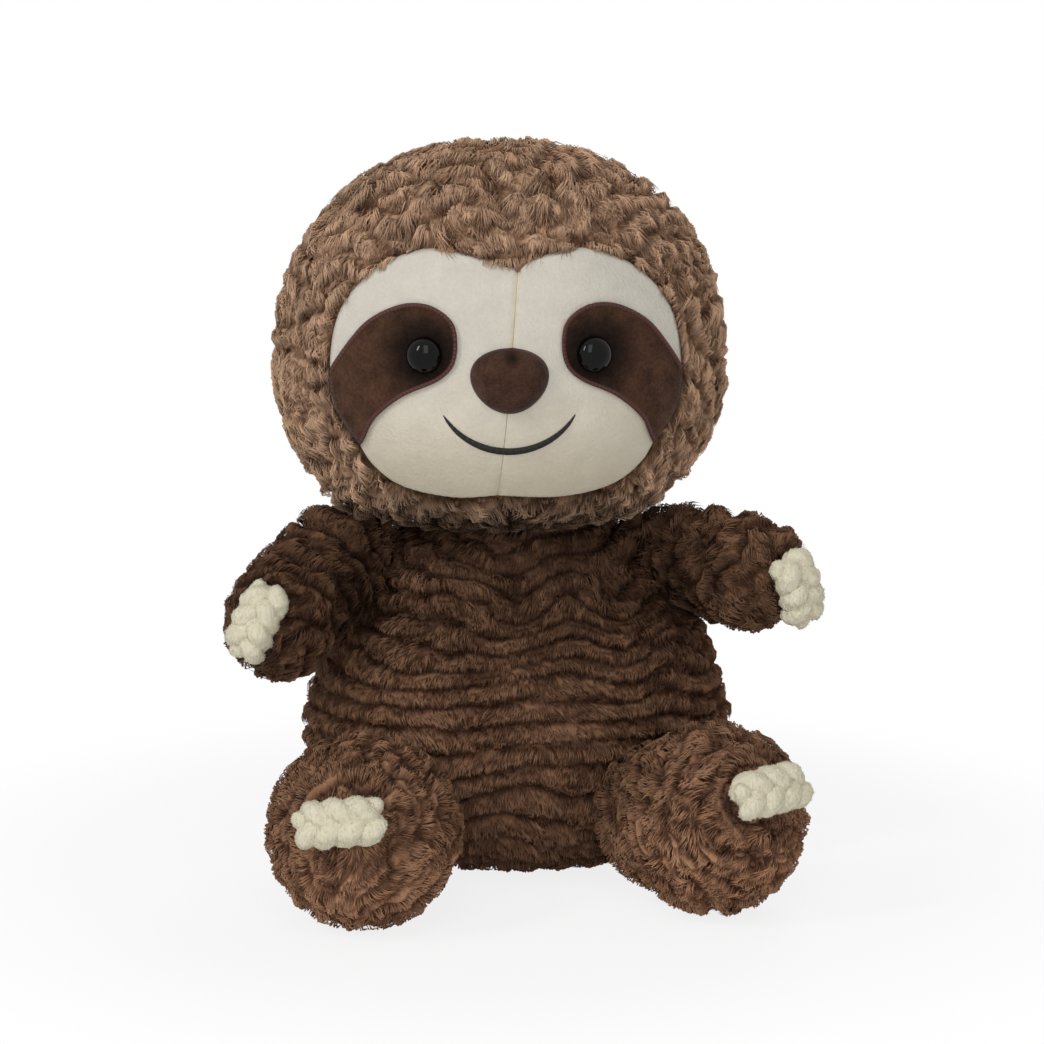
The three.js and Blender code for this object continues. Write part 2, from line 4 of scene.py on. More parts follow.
import bpy
import numpy as np
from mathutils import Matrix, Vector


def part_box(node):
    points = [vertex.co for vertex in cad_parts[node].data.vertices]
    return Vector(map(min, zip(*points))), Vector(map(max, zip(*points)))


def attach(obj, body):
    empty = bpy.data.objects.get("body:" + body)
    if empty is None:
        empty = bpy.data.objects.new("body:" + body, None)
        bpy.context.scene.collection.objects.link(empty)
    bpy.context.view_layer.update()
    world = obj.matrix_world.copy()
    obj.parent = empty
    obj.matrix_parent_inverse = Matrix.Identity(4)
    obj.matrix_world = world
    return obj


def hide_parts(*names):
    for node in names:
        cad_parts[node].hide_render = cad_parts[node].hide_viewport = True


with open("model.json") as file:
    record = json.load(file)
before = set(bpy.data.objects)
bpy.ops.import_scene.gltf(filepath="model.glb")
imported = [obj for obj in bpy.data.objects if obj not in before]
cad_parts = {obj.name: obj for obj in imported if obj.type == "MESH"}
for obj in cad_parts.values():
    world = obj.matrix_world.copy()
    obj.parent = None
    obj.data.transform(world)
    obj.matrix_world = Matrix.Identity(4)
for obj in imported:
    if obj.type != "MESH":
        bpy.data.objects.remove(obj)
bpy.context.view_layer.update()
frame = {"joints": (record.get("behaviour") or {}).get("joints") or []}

# Camera. It stands a metre in front of the toy and looks down on it by ten degrees, with a long lens,
# which is the photograph's viewing angle.
mm = 0.001
aim = np.array([1.5, 0, 103]) * mm
camera_distance = 1000 * mm
camera_rise = math.radians(10)

camera_data = bpy.data.cameras.new("camera")
camera_data.sensor_width, camera_data.lens = 36, 114.94
camera = bpy.data.objects.new("camera", camera_data)
camera.location = aim + camera_distance * np.array([0, -math.cos(camera_rise), math.sin(camera_rise)])
camera.rotation_euler = (math.pi / 2 - camera_rise, 0, 0)
bpy.context.scene.collection.objects.link(camera)
bpy.context.scene.camera = camera
bpy.context.scene.view_settings.view_transform = "Standard"

# Studio. A pale floor that fades into a white surround, a broad lamp high in front, a tall one like a
# window on the left, a low fill and one behind, with an even glow from all round. Only the first two
# glint in the eyes.
def node_adder(owner):
    """A call that adds a node to a material or world that starts empty. It takes the kind, each input as
    a value or another node's output, and the node's own settings. It returns the node's outputs."""
    owner.use_nodes = True
    tree = owner.node_tree
    tree.nodes.clear()

    def add(kind, inputs=None, **settings):
        node = tree.nodes.new("ShaderNode" + kind)
        for name, value in settings.items():
            setattr(node, name, value)
        for socket, value in (inputs or {}).items():
            if isinstance(value, bpy.types.NodeSocket):
                tree.links.new(value, node.inputs[socket])
            else:
                node.inputs[socket].default_value = value
        return node.outputs

    return add


white_floor = bpy.data.materials.new("white_floor")
add = node_adder(white_floor)
rays = add("LightPath")
seen = add("Math", {0: rays["Is Camera Ray"], 1: rays["Is Glossy Ray"]}, operation="MAXIMUM")["Value"]
distance = add("VectorMath", {0: add("TexCoord")["Object"]}, operation="LENGTH")["Value"]
reach = {"Value": distance, "From Min": 0.12, "From Max": 0.22, "To Min": 0.83}
far = add("MapRange", reach, interpolation_type="SMOOTHSTEP")["Result"]
share = add("Math", {0: far, 1: seen}, operation="MULTIPLY")["Value"]
paint = add("BsdfDiffuse", {"Color": (0.86, 0.86, 0.86, 1)})["BSDF"]
floor_mix = add("MixShader", {"Fac": share, 1: paint, 2: add("Emission")["Emission"]})
add("OutputMaterial", {"Surface": floor_mix["Shader"]})

floor_reach = 3
floor_mesh = bpy.data.meshes.new("floor")
floor_corners = floor_reach * np.array([[-1, -1, 0], [1, -1, 0], [1, 1, 0], [-1, 1, 0]])
floor_mesh.from_pydata(floor_corners.tolist(), [], [(0, 1, 2, 3)])
floor_mesh.materials.append(white_floor)
floor = bpy.data.objects.new("floor", floor_mesh)
bpy.context.scene.collection.objects.link(floor)

world = bpy.data.worlds.new("studio")
bpy.context.scene.world = world
add = node_adder(world)
rays = add("LightPath")
seen = add("Math", {0: rays["Is Camera Ray"], 1: rays["Is Transmission Ray"]}, operation="MAXIMUM")["Value"]
mirrored = add("Math", {0: seen, 1: rays["Is Glossy Ray"]}, operation="MAXIMUM")["Value"]
glow = add("Background", {"Color": (1, 1, 1, 1), "Strength": 0.36})["Background"]
white = add("Background", {"Color": (1, 1, 1, 1)})["Background"]
add("OutputWorld", {"Surface": add("MixShader", {"Fac": mirrored, 1: glow, 2: white})["Shader"]})

# Each lamp's name, place, width, height and watts.
lamps = [
    ("key", (-0.1, -1.0, 0.85), 0.45, 0.9, 3.6),
    ("window", (-0.9, -0.75, 0.95), 0.17, 0.5, 5.6),
    ("fill", (0.2, -1.2, 0.08), 0.6, 0.8, 4.6),
    ("rim", (0.3, 0.9, 0.9), 0.6, 0.7, 4.4),
]
for name, place, width, height, watts in lamps:
    lamp_data = bpy.data.lights.new(name, "AREA")
    lamp_data.shape = "RECTANGLE"
    lamp_data.size, lamp_data.size_y, lamp_data.energy = width, height, watts
    lamp = bpy.data.objects.new(name, lamp_data)
    lamp.visible_glossy = name in ("key", "window")
    lamp.visible_camera = False
    lamp.location = place
    lamp.rotation_euler = Vector((np.array(place) - aim).tolist()).to_track_quat("Z", "Y").to_euler()
    bpy.context.scene.collection.objects.link(lamp)

# Body skin. The knitted backing of the long-pile plush, a pear that the floor presses flat, stuffed with
# fibre. It lies a pile's height inside the tips of the fur, with round seats for the limbs and the neck.
pile = 4 * mm
body_low, body_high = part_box("body_cover")
body_form = {
    "middle": np.array([0, 0, 43 * mm]),
    "half_width": body_high.x,
    "front": -body_low.y,
    "back": body_high.y,
    "above": 67 * mm,
    "below": 43.5 * mm,
    "taper": 0.215,
    "round_above": 2.6,
    "round_below": 3,
}
joint_place = {joint["name"]: np.array(joint["pos_m"]) for joint in frame["joints"]}
neck_place = joint_place["head_turn"]
neck_dome = 55 * mm
neck_ring = 57.2 * mm
neck_trim = 28 * mm
arm_root, arm_tip = 16 * mm, 17.3 * mm
leg_root, leg_tip = 22.5 * mm, 28 * mm
limb_seats = [
    (joint_place["shoulder_left"], arm_root),
    (joint_place["shoulder_right"], arm_root),
    (joint_place["hip_left"], leg_root),
    (joint_place["hip_right"], leg_root),
]


def egg(form, grow, u, v):
    """A stack of ellipses. u goes once round, v from the bottom pole to the top one. Each ring is as wide
    as (1 - climb^round)^(1/round) of the widest, times the taper, and grow moves the surface out along
    all axes."""
    angle = math.pi * (v - 0.5)
    upper = angle > 0
    roundness = np.where(upper, form["round_above"], form["round_below"])
    reach = np.where(upper, form["above"], form["below"]) + grow
    climb = np.minimum(np.abs(np.sin(angle)) ** (2 / roundness), 1)
    share = (1 - climb**roundness) ** (1 / roundness) * np.where(upper, 1 - form["taper"] * climb, 1)
    turn = 2 * math.pi * u
    depth = np.where(np.sin(turn) < 0, form["front"], form["back"]) + grow
    x = (form["half_width"] + grow) * share * np.cos(turn)
    y = depth * share * np.sin(turn)
    return np.stack([x, y, np.sign(angle) * reach * climb], axis=-1) + form["middle"]


def closed_grid(points, start=0):
    """Vertices and faces of rings of points from a first pole to a last one, each of them a mean of its
    ring. The faces count the vertices from a start."""
    rings, around = points.shape[:2]
    first, last = points[0].mean(axis=0), points[-1].mean(axis=0)
    inner = points[1:-1].reshape(-1, points.shape[-1])
    vertices = np.vstack([first, inner, last])
    column = np.arange(around)
    following = (column + 1) % around
    row = 1 + around * np.arange(rings - 3)[:, None]
    above = row + around
    quads = np.stack([row + column, row + following, above + following, above + column], axis=-1)
    top = 1 + around * (rings - 3)
    low_fan = np.stack([0 * column, 1 + following, 1 + column], axis=-1)
    high_fan = np.stack([0 * column + len(vertices) - 1, top + column, top + following], axis=-1)
    parts = quads.reshape(-1, 4), low_fan, high_fan
    return vertices, [face for part in parts for face in (start + part).tolist()]


def piece_of(mesh, material, body):
    """A smooth-shaded object of a mesh and one material that rides on a body of the frame."""
    mesh.materials.append(material)
    mesh.polygons.foreach_set("use_smooth", np.ones(len(mesh.polygons), bool))
    made = bpy.data.objects.new(mesh.name, mesh)
    bpy.context.scene.collection.objects.link(made)
    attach(made, body)
    return made


def new_piece(name, vertices, faces, material, body):
    """The same for vertices and faces, under a name."""
    mesh = bpy.data.meshes.new(name)
    mesh.from_pydata(np.asarray(vertices).tolist(), [], faces)
    return piece_of(mesh, material, body)


def keep_values(piece, name, values):
    """Keep a value for each vertex as an attribute that the piece's material reads."""
    kept = piece.data.attributes.new(name, "FLOAT", "POINT")
    kept.data.foreach_set("value", np.array(values, np.float32))


def grid_uv(rings, around):
    """Shares once round and from pole to pole, for the points of a closed grid."""
    v, u = np.meshgrid(np.linspace(0, 1, rings), np.arange(around) / around, indexing="ij")
    return u, v


def keep_out(points, centre, radius):
    """Points nearer to the centre than the radius move straight out to it."""
    way = points - centre
    distance = np.linalg.norm(way, axis=-1, keepdims=True)
    return np.where(distance < radius, centre + way * radius / np.maximum(distance, mm), points)


def keep_in(points, centre, radius, within):
    """Points above the centre and within a distance of its axis move in to the radius."""
    way = points - centre
    distance = np.linalg.norm(way, axis=-1, keepdims=True)
    meant = (np.hypot(way[..., 0], way[..., 1]) < within) & (way[..., 2] > 0)
    return np.where(meant[..., None] & (distance > radius), centre + way * radius / distance, points)


def body_clear(points, proud):
    """Points of the body drawn in at the neck's dome and out of the limbs' round seats. Fur may stand
    proud."""
    points = keep_in(points, neck_place, neck_dome + proud, neck_trim)
    for seat_place, seat_radius in limb_seats:
        points = keep_out(points, seat_place, seat_radius - pile + 0.6 * mm - proud)
    return points


def unit(vectors):
    """Each vector at length one."""
    return vectors / np.maximum(np.linalg.norm(vectors, axis=-1, keepdims=True), 1e-12)


def laid_flat(ways, normals):
    """Directions laid into the surface that has the unit normals."""
    return unit(ways - normals * (ways * normals).sum(axis=-1, keepdims=True))


def surface_frame(surface, u, v):
    """Places on a surface, the normals there, and how they move with u and v."""
    step = 1e-4
    along_u = (surface(u + step, v) - surface(u - step, v)) / (2 * step)
    along_v = (surface(u, v + step) - surface(u, v - step)) / (2 * step)
    return surface(u, v), unit(np.cross(along_u, along_v)), along_u, along_v


def spread(surface, each_area, seed):
    """Places strewn evenly over a surface, one to each given area. v follows the running sum of its
    rings' largest areas, and a place is kept in proportion to its area within the ring."""
    ring_v = np.linspace(0.004, 0.996, 1001)
    ring_middle = (ring_v[1:] + ring_v[:-1]) / 2

    def area_at(u, v):
        return np.linalg.norm(np.cross(*surface_frame(surface, u, v)[2:]), axis=-1)

    most = area_at(*np.meshgrid(np.arange(48) / 48, ring_middle)).max(axis=1)
    run = np.append(0, np.cumsum(most)) * (ring_v[1] - ring_v[0])
    tries = int(run[-1] / each_area)
    walk = np.random.default_rng(seed).random((tries, 3))
    u, v = walk[:, 0], np.interp(walk[:, 1], run / run[-1], ring_v)
    kept = walk[:, 2] * np.interp(v, ring_middle, most) < area_at(u, v)
    return u[kept], v[kept]


def ripple(points, wavelength, amount, seed):
    """Smooth noise: five sine waves across random directions, of about one wavelength."""
    rng = np.random.default_rng(seed)
    ways = unit(rng.normal(size=(5, 3))) * 2 * math.pi / wavelength * rng.uniform(0.7, 1.4, (5, 1))
    return amount * np.sin(points @ ways.T + rng.uniform(0, 2 * math.pi, 5)).sum(axis=-1) / math.sqrt(2.5)


def flow_at(coat, points, normals):
    """The way the pile is brushed: down the slope of the coat's field, laid into the surface, and turned
    aside by a smooth noise."""
    step = 0.5 * mm
    field = coat["field"]
    slope = [(field(points + step * axis) - field(points - step * axis)) / (2 * step) for axis in np.eye(3)]
    way = laid_flat(np.stack(slope, axis=-1), normals)
    turn = ripple(points, coat["swirl_size"], coat["swirl"], coat["seed"])[..., None]
    return np.cos(turn) * way + np.sin(turn) * np.cross(normals, way)


def mound(share):
    """The height of a row as a share of the pile, a share of the way down it. It climbs like a quarter of
    a sine wave to its middle and drops at its lower end."""
    climb = np.sin(np.clip(share / 0.5, 0, 1) * math.pi / 2)
    return climb * np.sqrt(np.clip(1 - (np.clip(share - 0.84, 0, 1) / 0.17) ** 2, 0, 1))


def in_rows(coat, points, normals):
    """A coat in rows, at each place: a call for how high the pile stands a distance further down, the way
    it lies, how much is left of the row, and a shade. The rows run in waves and their ends are ragged."""
    flat = points.reshape(-1, 3)
    waved = coat["field"](flat)
    for wave_number, (wavelength, amount) in enumerate(coat["waves"]):
        wave = ripple(flat, wavelength, amount, coat["seed"] + 20 + wave_number)
        waved = waved + wave * coat["wild"](flat)
    share = (waved / coat["row"]) % 1
    low = 1 - coat["uneven"] * (0.5 + ripple(flat, coat["nick"], 0.6, coat["seed"] + 5)).clip(0, 1)

    def height_after(distance):
        return low * mound(share + distance / coat["row"])

    way = flow_at(coat, flat, normals.reshape(-1, 3))
    shade = 0.5 + ripple(flat, 14 * mm, coat["mottle"], coat["seed"] + 6)
    return height_after, way, coat["row"] * (1 - share), shade


def fur_skin(name, surface, rings, around, coat, material, body):
    """The ground of a coat: a closed grid raised under each row to most of its height, with that height
    and the shade kept as attributes."""
    u, v = grid_uv(rings, around)
    normal = surface_frame(surface, u, np.clip(v, 0.002, 0.998))[1]
    place = surface(u, v)
    height_after, _, _, shade = in_rows(coat, place, normal)
    height = height_after(0).reshape(u.shape) * coat["shows"](place) * coat["rises"](place)
    raised = place + normal * (ground_share * pile * coat["bulk"](place) * height)[..., None]
    # The coat's tone adds its painted light and shade to the ground's shade.
    marks = np.stack([height, shade.reshape(u.shape) + coat["tone"](place)], axis=-1)
    vertices, faces = closed_grid(np.concatenate([coat["clear"](raised, 0), marks], axis=-1))
    made = new_piece(name, vertices[:, :3], faces, material, body)
    keep_values(made, "height", vertices[:, 3])
    keep_values(made, "shade", vertices[:, 4])
    return made


def from_srgb(red, green, blue):
    """Linear shares of a colour given in 255ths as a screen shows it."""
    share = np.array([red, green, blue]) / 255
    return np.where(share <= 0.04045, share / 12.92, ((share + 0.055) / 1.055) ** 2.4)


def new_material(name):
    """A material that starts empty, and the call that adds a node to it."""
    material = bpy.data.materials.new(name)
    return material, node_adder(material)


def paint_all(add, inputs):
    """Put the principled shader with its inputs on the surface."""
    add("OutputMaterial", {"Surface": add("BsdfPrincipled", inputs)["BSDF"]})


def ramp(add, share, stops):
    """The colour at a share, blended between the colours of stops that are given by their positions."""
    colour = add("ValToRGB", {"Fac": share})["Color"]
    elements = colour.node.color_ramp.elements
    first, *between, last = stops
    elements[0].position, elements[1].position = first, last
    elements[0].color, elements[1].color = (*stops[first], 1), (*stops[last], 1)
    for position in between:
        elements.new(position).color = (*stops[position], 1)
    return colour


def between(add, share, low, high):
    """A share stretched to run from low to high."""
    return add("MapRange", {"Value": share, "To Min": low, "To Max": high})["Result"]


def scaled(add, colour, by):
    """A colour made darker or lighter."""
    return add("VectorMath", {0: colour, "Scale": by}, operation="SCALE")["Vector"]


def noise(add, scale, place=None, **more):
    """Fine noise at a place, or else in the object's own coordinates."""
    place = add("TexCoord")["Object"] if place is None else place
    return add("TexNoise", {"Vector": place, "Scale": scale, **more})["Fac"]


def bump(add, height, depth, strength=1):
    """The normal of a surface that a share raises by up to a depth."""
    return add("Bump", {"Height": height, "Distance": depth, "Strength": strength})["Normal"]


def pile_colour(add, shade, height, colours):
    """The colour of a pile by a height socket, from root to tip, made darker or lighter by a shade
    socket."""
    colour = ramp(add, height, dict(zip((0.05, 0.5, 1), colours)))
    return scaled(add, colour, between(add, shade, 0.1, 1.9))


def matted_pile(name, colours):
    """The dense pile close to the cloth, dark in the furrows, which paints their shade, and warmer where it
    stands up, with fine fibres in its colour and bump that run up and down."""
    material, add = new_material(name)
    stretched = add("Mapping", {"Vector": add("TexCoord")["Object"], "Scale": (1, 1, 0.2)})["Vector"]
    fibres = noise(add, 1400, stretched, Detail=3)
    height, shade = (add("Attribute", attribute_name=kept)["Fac"] for kept in ("height", "shade"))
    uneven = add("Math", {0: between(add, fibres, -0.35, 0.35), 1: height}, operation="ADD")["Value"]
    paint_all(add, {
        "Base Color": pile_colour(add, shade, uneven, colours),
        "Roughness": 1,
        "Specular IOR Level": 0.05,
        "Normal": bump(add, fibres, 0.5 * mm),
    })
    return material


def body_rows(points):
    """The body's pile is brushed down along its sides, like meridians from its top."""
    level = np.hypot(0.74 * points[..., 0], points[..., 1])
    return 56 * mm * np.arctan2(level, points[..., 2] - 50 * mm)


def body_shows(points):
    """Places on the body that no limb, neck or floor covers."""
    shows = np.hypot(points[..., 0] - neck_place[0], points[..., 1] - neck_place[1]) > 12 * mm
    shows |= points[..., 2] < 90 * mm
    shows &= points[..., 2] > 1.5 * mm
    for seat_place, seat_radius in limb_seats:
        shows &= np.linalg.norm(points - seat_place, axis=-1) > seat_radius - 1.5 * mm
    return shows


def near(points, place, size):
    """How close points are to a place: 1 at it, fading out over a few times a size."""
    return np.exp(-((points - np.array(place) * mm) ** 2).sum(axis=-1) / (2 * (size * mm) ** 2))


def fade(value, start, length):
    """A share that grows from 0 at a start to 1 a length further on, both in mm."""
    return np.clip((value - start * mm) / (length * mm), 0, 1)


def crease_shade(points):
    """Painted shade: the pile is darker in the armpits, where an arm meets the body, and at the fold
    between a leg and the body."""
    armpits = 0.26 * near(points, (48, -24, 84), 9) + 0.18 * near(points, (-46, -24, 84), 8)
    return -armpits - 0.14 * near(points, (28, -58, 30), 9) - 0.14 * near(points, (-22, -60, 30), 9)


def painted_top_light(points):
    """Painted light: the pile is lighter along the top of the shoulders and arms, beside the head."""
    return 0.2 * fade(np.abs(points[..., 0]), 26, 10) * fade(points[..., 2], 96, 8)


def body_tone(points):
    """Painted light and shade: the chest is darkest, in the shade of the head, the lowest part a little
    darker in the belly's shade, and the belly lightest, with the painted shade of the creases and the
    painted light on the shoulders.
    """
    up = points[..., 2]
    return 0.06 - (0.24 * fade(up, 55, 25) + 0.05 * fade(-up, -30, 15)) + crease_shade(points) + painted_top_light(points)


def shoulder_bulk(points):
    """How much deeper the pile is than usual: fuller on the shoulders, under the chin, and pressed flat
    where the head sits on it."""
    left, right = near(points, (-38, -5, 98), 9), near(points, (33, -7, 100), 9)
    level = np.hypot(points[..., 0] - neck_place[0], points[..., 1] - neck_place[1])
    pressed = fade(-level, -32, 5) * (points[..., 2] > 90 * mm)
    return (1 + 1.6 * left + 2.9 * right + near(points, (43, -4, 98), 8)) * (1 - 0.55 * pressed)


def everywhere(points):
    """One for each place."""
    return np.ones(points.shape[:-1])


ground_share = 0.68
body_colours = [from_srgb(52, 36, 27), from_srgb(98, 70, 54), from_srgb(126, 94, 72)]
# The pile runs down the coat's field, in rows a "row" wide that the waves bend by "wild" times their
# size. The rows are lower by "uneven" at nicks, "swirl" turns the pile aside, "wisp" draws strands
# together in clumps, and "mottle" varies the shade. "bulk" deepens the pile, "rises" and "shows" end it,
# and "clear" holds it off others. "tone" is painted light and shade in the pile's colour.
body_coat = {
    "seed": 11,
    "field": body_rows,
    "shows": body_shows,
    "clear": body_clear,
    "tone": body_tone,
    "bulk": shoulder_bulk,
    "rises": everywhere,
    "row": 8 * mm,
    "waves": [(60 * mm, 2.4 * mm), (26 * mm, 1.5 * mm), (10 * mm, 0.5 * mm), (4 * mm, 0.25 * mm)],
    "wild": lambda points: 0.6 + 1.1 * fade(points[:, 2], 55, 20),
    "nick": 8 * mm,
    "swirl": 0.25,
    "swirl_size": 40 * mm,
    "wisp": 0.4,
    "clump": 4.5 * mm,
    "uneven": 0.45,
    "mottle": 0.04,
    "longest": 7 * mm,
    "each_area": 0.45 * mm**2,
    "too_far": lambda tips: 0,
}
body_ground = matted_pile("body_ground", body_colours)


def body_surface(u, v):
    """The body's cloth, a pile's height inside the tips of its fur."""
    return egg(body_form, -pile, u, v)


body_skin = fur_skin("body_skin", body_surface, 210, 300, body_coat, body_ground, "torso")
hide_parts("body_cover", "body_filling", "seat_pouch")

# Body fur. Long soft pile in rows about 8 mm apart, embossed into waves and brushed downwards. Each row
# breaks into tufts whose tips draw together, and the furrows under the tips are dark, partly painted shade.
def comb(surface, coat):
    """Strands of a coat. Each leaves the ground, runs down its row a little above it, and its tip lies at
    the end of that or at its own length. Strands turn towards the crests of a smooth noise, which draws
    them together in tufts. It returns root, middle and tip places, the way across, a shade, and the three
    places' heights as shares of the pile."""
    tightest_bend, root_depth, shortest, proud, most_held_off = 14 * mm, 0.5 * mm, 1.5 * mm, 2 * mm, 1.5 * mm
    bend_at = 0.45
    rng = np.random.default_rng(coat["seed"] + 3)
    u, v = spread(surface, coat["each_area"], coat["seed"] + 4)
    place, normal, along_u, along_v = surface_frame(surface, u, v)
    kept = coat["shows"](place) > 0.5
    u, v, place, normal, along_u, along_v = (a[kept] for a in (u, v, place, normal, along_u, along_v))
    height_after, flow, left, shade = in_rows(coat, place, normal)
    count = len(place)
    flow = laid_flat(flow, normal)
    to_side = np.cross(normal, flow)
    step = coat["clump"] / 16 * to_side
    near_by = [place + k * step for k in (0, 1, -1)]
    wisp, one_side, other_side = (ripple(p, coat["clump"], 1, coat["seed"] + 7) for p in near_by)
    yaw = (rng.normal(0, 0.07, count) + coat["wisp"] * 8 / (2 * math.pi) * (one_side - other_side))[:, None]
    way = np.cos(yaw) * flow + np.sin(yaw) * to_side
    side = np.cross(normal, way)

    inverse = np.linalg.inv(np.stack([along_u, along_v, normal], axis=-1))
    nudge = (inverse @ (way * mm)[..., None])[..., 0]
    next_normal = surface_frame(surface, u + nudge[:, 0], np.clip(v + nudge[:, 1], 0.004, 0.996))[1]
    bend = np.clip(((next_normal - normal) * way).sum(axis=-1) / mm, 1, 1 / tightest_bend)

    def laid(distance, high=0):
        """A place at a distance along the strand's way over the curved surface, at a height over it."""
        angle = distance * bend
        over = np.cos(angle)[:, None] * normal + np.sin(angle)[:, None] * way
        return place - normal / bend[:, None] + over * (1 / bend + high)[:, None]

    most = coat["longest"] * rng.uniform(0.75, 1.1, count) / np.maximum(coat["bulk"](place), 1) ** 0.7
    reach = np.clip(left + rng.normal(0, 0.4 * mm, count), 2 * mm, most)
    reach = np.maximum(reach - coat["too_far"](laid(reach)), shortest)
    lift = rng.uniform(0.04, 0.1, count) + 0.05 * np.maximum(wisp, -0.8)
    under = [ground_share * in_rows(coat, laid(part * reach), normal)[0](0) for part in (bend_at, 0.9)]
    start = height_after(0) * coat["rises"](place)
    half = np.maximum(height_after(bend_at * reach), under[0] + 0.12) + lift
    full = np.maximum(0.93 * height_after(np.minimum(reach, 0.92 * left)), under[1] + 0.06) + lift
    deep = [pile * coat["bulk"](laid(part * reach)) for part in (0, bend_at, 1)]
    root = laid(0 * reach, ground_share * deep[0] * start - root_depth)
    middle = laid(bend_at * reach, deep[1] * half)
    tip = laid(reach, deep[2] * full)
    free = np.stack([root, middle, tip])
    root, middle, tip = cleared = coat["clear"](free, proud)
    # Painted light and shade: the shade is lighter on the crests of the tufts and darker between them, and
    # the coat's tone adds its painted light and shade.
    shade = shade + rng.normal(0, 0.04, count) + 0.05 * wisp + coat["tone"](place)
    heights = np.stack([ground_share * start, half, full + 0.05], axis=-1)
    shade, heights = np.clip(shade, 0.02, 0.98), np.clip(heights, 0.02, 0.98)
    clear = np.linalg.norm(cleared - free, axis=-1).max(axis=0) < most_held_off
    return tuple(a[clear] for a in (root, middle, tip, side, shade, heights))


def circle(count):
    """Angles once round in even steps."""
    return 2 * math.pi * np.arange(count) / count


def strand_mesh(name, strands, thickness, material, body):
    """Each strand is a needle of three sides, pointed at both ends and thickest at its bend, with the
    shade as its u and the height over the ground as its v. None goes under the floor."""
    root, middle, tip, side, shade, heights = strands
    root, middle, tip = (np.maximum(p, [-np.inf, -np.inf, 0.2 * mm]) for p in (root, middle, tip))
    count = len(root)
    way = unit(tip - root)
    first = laid_flat(side, way)
    second = np.cross(way, first)
    turn = circle(3)[:, None]
    round_way = np.cos(turn) * first[:, None] + np.sin(turn) * second[:, None]
    ring = middle[:, None] + thickness * round_way
    vertices = np.concatenate([root[:, None], ring, tip[:, None]], axis=1)
    faces = np.array([(0, 2, 1), (0, 3, 2), (0, 1, 3), (1, 2, 4), (2, 3, 4), (3, 1, 4)])
    loops = (faces.ravel() + 5 * np.arange(count)[:, None]).astype(np.int32).ravel()
    mesh = bpy.data.meshes.new(name)
    mesh.vertices.add(5 * count)
    mesh.vertices.foreach_set("co", vertices.astype(np.float32).ravel())
    mesh.loops.add(len(loops))
    mesh.loops.foreach_set("vertex_index", loops)
    mesh.polygons.add(6 * count)
    mesh.polygons.foreach_set("loop_start", 3 * np.arange(6 * count, dtype=np.int32))
    mesh.update(calc_edges=True)
    height = heights[:, np.array([0, 1, 1, 1, 2])[faces.ravel()]]
    uv = np.stack([np.repeat(shade[:, None], 18, axis=1), height], axis=-1)
    mesh.uv_layers.new(name="OFBake").data.foreach_set("uv", uv.astype(np.float32).ravel())
    return piece_of(mesh, material, body)


def fur(name, colours):
    """Soft fibres: dark at the root, the more so the lower it lies in the furrows, which paints their shade,
    warmer up the strand and lighter at the tip, and brighter or darker from tuft to tuft by the shade that
    each strand carries."""
    material, add = new_material(name)
    parts = add("SeparateXYZ", {"Vector": add("UVMap", uv_map="OFBake")["UV"]})
    colour = pile_colour(add, parts["X"], parts["Y"], colours)
    paint_all(add, {"Base Color": colour, "Roughness": 0.8, "Specular IOR Level": 0.06})
    return material


def split(strands, parts):
    """The strands of each named part, by the part's test on the strand's root."""
    return {name: tuple(a[test(strands[0])] for a in strands) for name, test in parts.items()}


strand_radius = 0.18 * mm
body_fur = fur("body_fur", body_colours)
body_parts = {
    "body_fur_belly": lambda p: (p[:, 1] < 0) & (p[:, 2] < 62 * mm),
    "body_fur_chest": lambda p: (p[:, 1] < 0) & (p[:, 2] >= 62 * mm),
    "body_fur_back_low": lambda p: (p[:, 1] >= 0) & (p[:, 2] < 55 * mm),
    "body_fur_back_high": lambda p: (p[:, 1] >= 0) & (p[:, 2] >= 55 * mm),
}
for part_name, strands in split(comb(body_surface, body_coat), body_parts).items():
    strand_mesh(part_name, strands, strand_radius, body_fur, "torso")

# Head skin. The same backing in the lighter plush, sewn into a ball a little wider than high. It is set a
# little to its right and turned a little to its left, and a dish underneath lets it turn on the neck.
head_middle = np.array([-4.8, -4, 153.5]) * mm
head_turn = math.radians(2.8)
head_form = {
    "middle": np.zeros(3),
    "half_width": 67 * mm,
    "front": 60 * mm,
    "back": 56 * mm,
    "above": 64 * mm,
    "below": 51 * mm,
    "taper": 0,
    "round_above": 2.2,
    "round_below": 2.3,
}
face_half_width, face_half_height = 50 * mm, 36 * mm


def on_head(points):
    """Places given round the head's middle, turned and moved to where the head sits."""
    cosine, sine = math.cos(head_turn), math.sin(head_turn)
    x, y, z = np.moveaxis(np.asarray(points, float), -1, 0)
    return np.stack([cosine * x - sine * y, sine * x + cosine * y, z], axis=-1) + head_middle


def off_head(points):
    """The reverse: places in the toy's frame, seen from the head's middle."""
    x, y, z = np.moveaxis(points - head_middle, -1, 0)
    cosine, sine = math.cos(head_turn), math.sin(head_turn)
    return np.stack([cosine * x + sine * y, cosine * y - sine * x, z], axis=-1)


def head_surface(u, v):
    """The head's skin, a pile's height inside the tips of its fur."""
    return on_head(egg(head_form, -pile, u, v))


face_edge_shares = np.array([
    (0.16, 0.945), (0.32, 0.99), (0.48, 1), (0.73, 0.85), (0.926, 0.555), (1, 0.175), (0.98, -0.22),
    (0.86, -0.5), (0.772, -0.714), (0.6, -0.894), (0.314, -0.975),
])
top_notch_share, chin_notch_share = 0.86, -0.95
seam_slant = math.tan(math.radians(4.8))


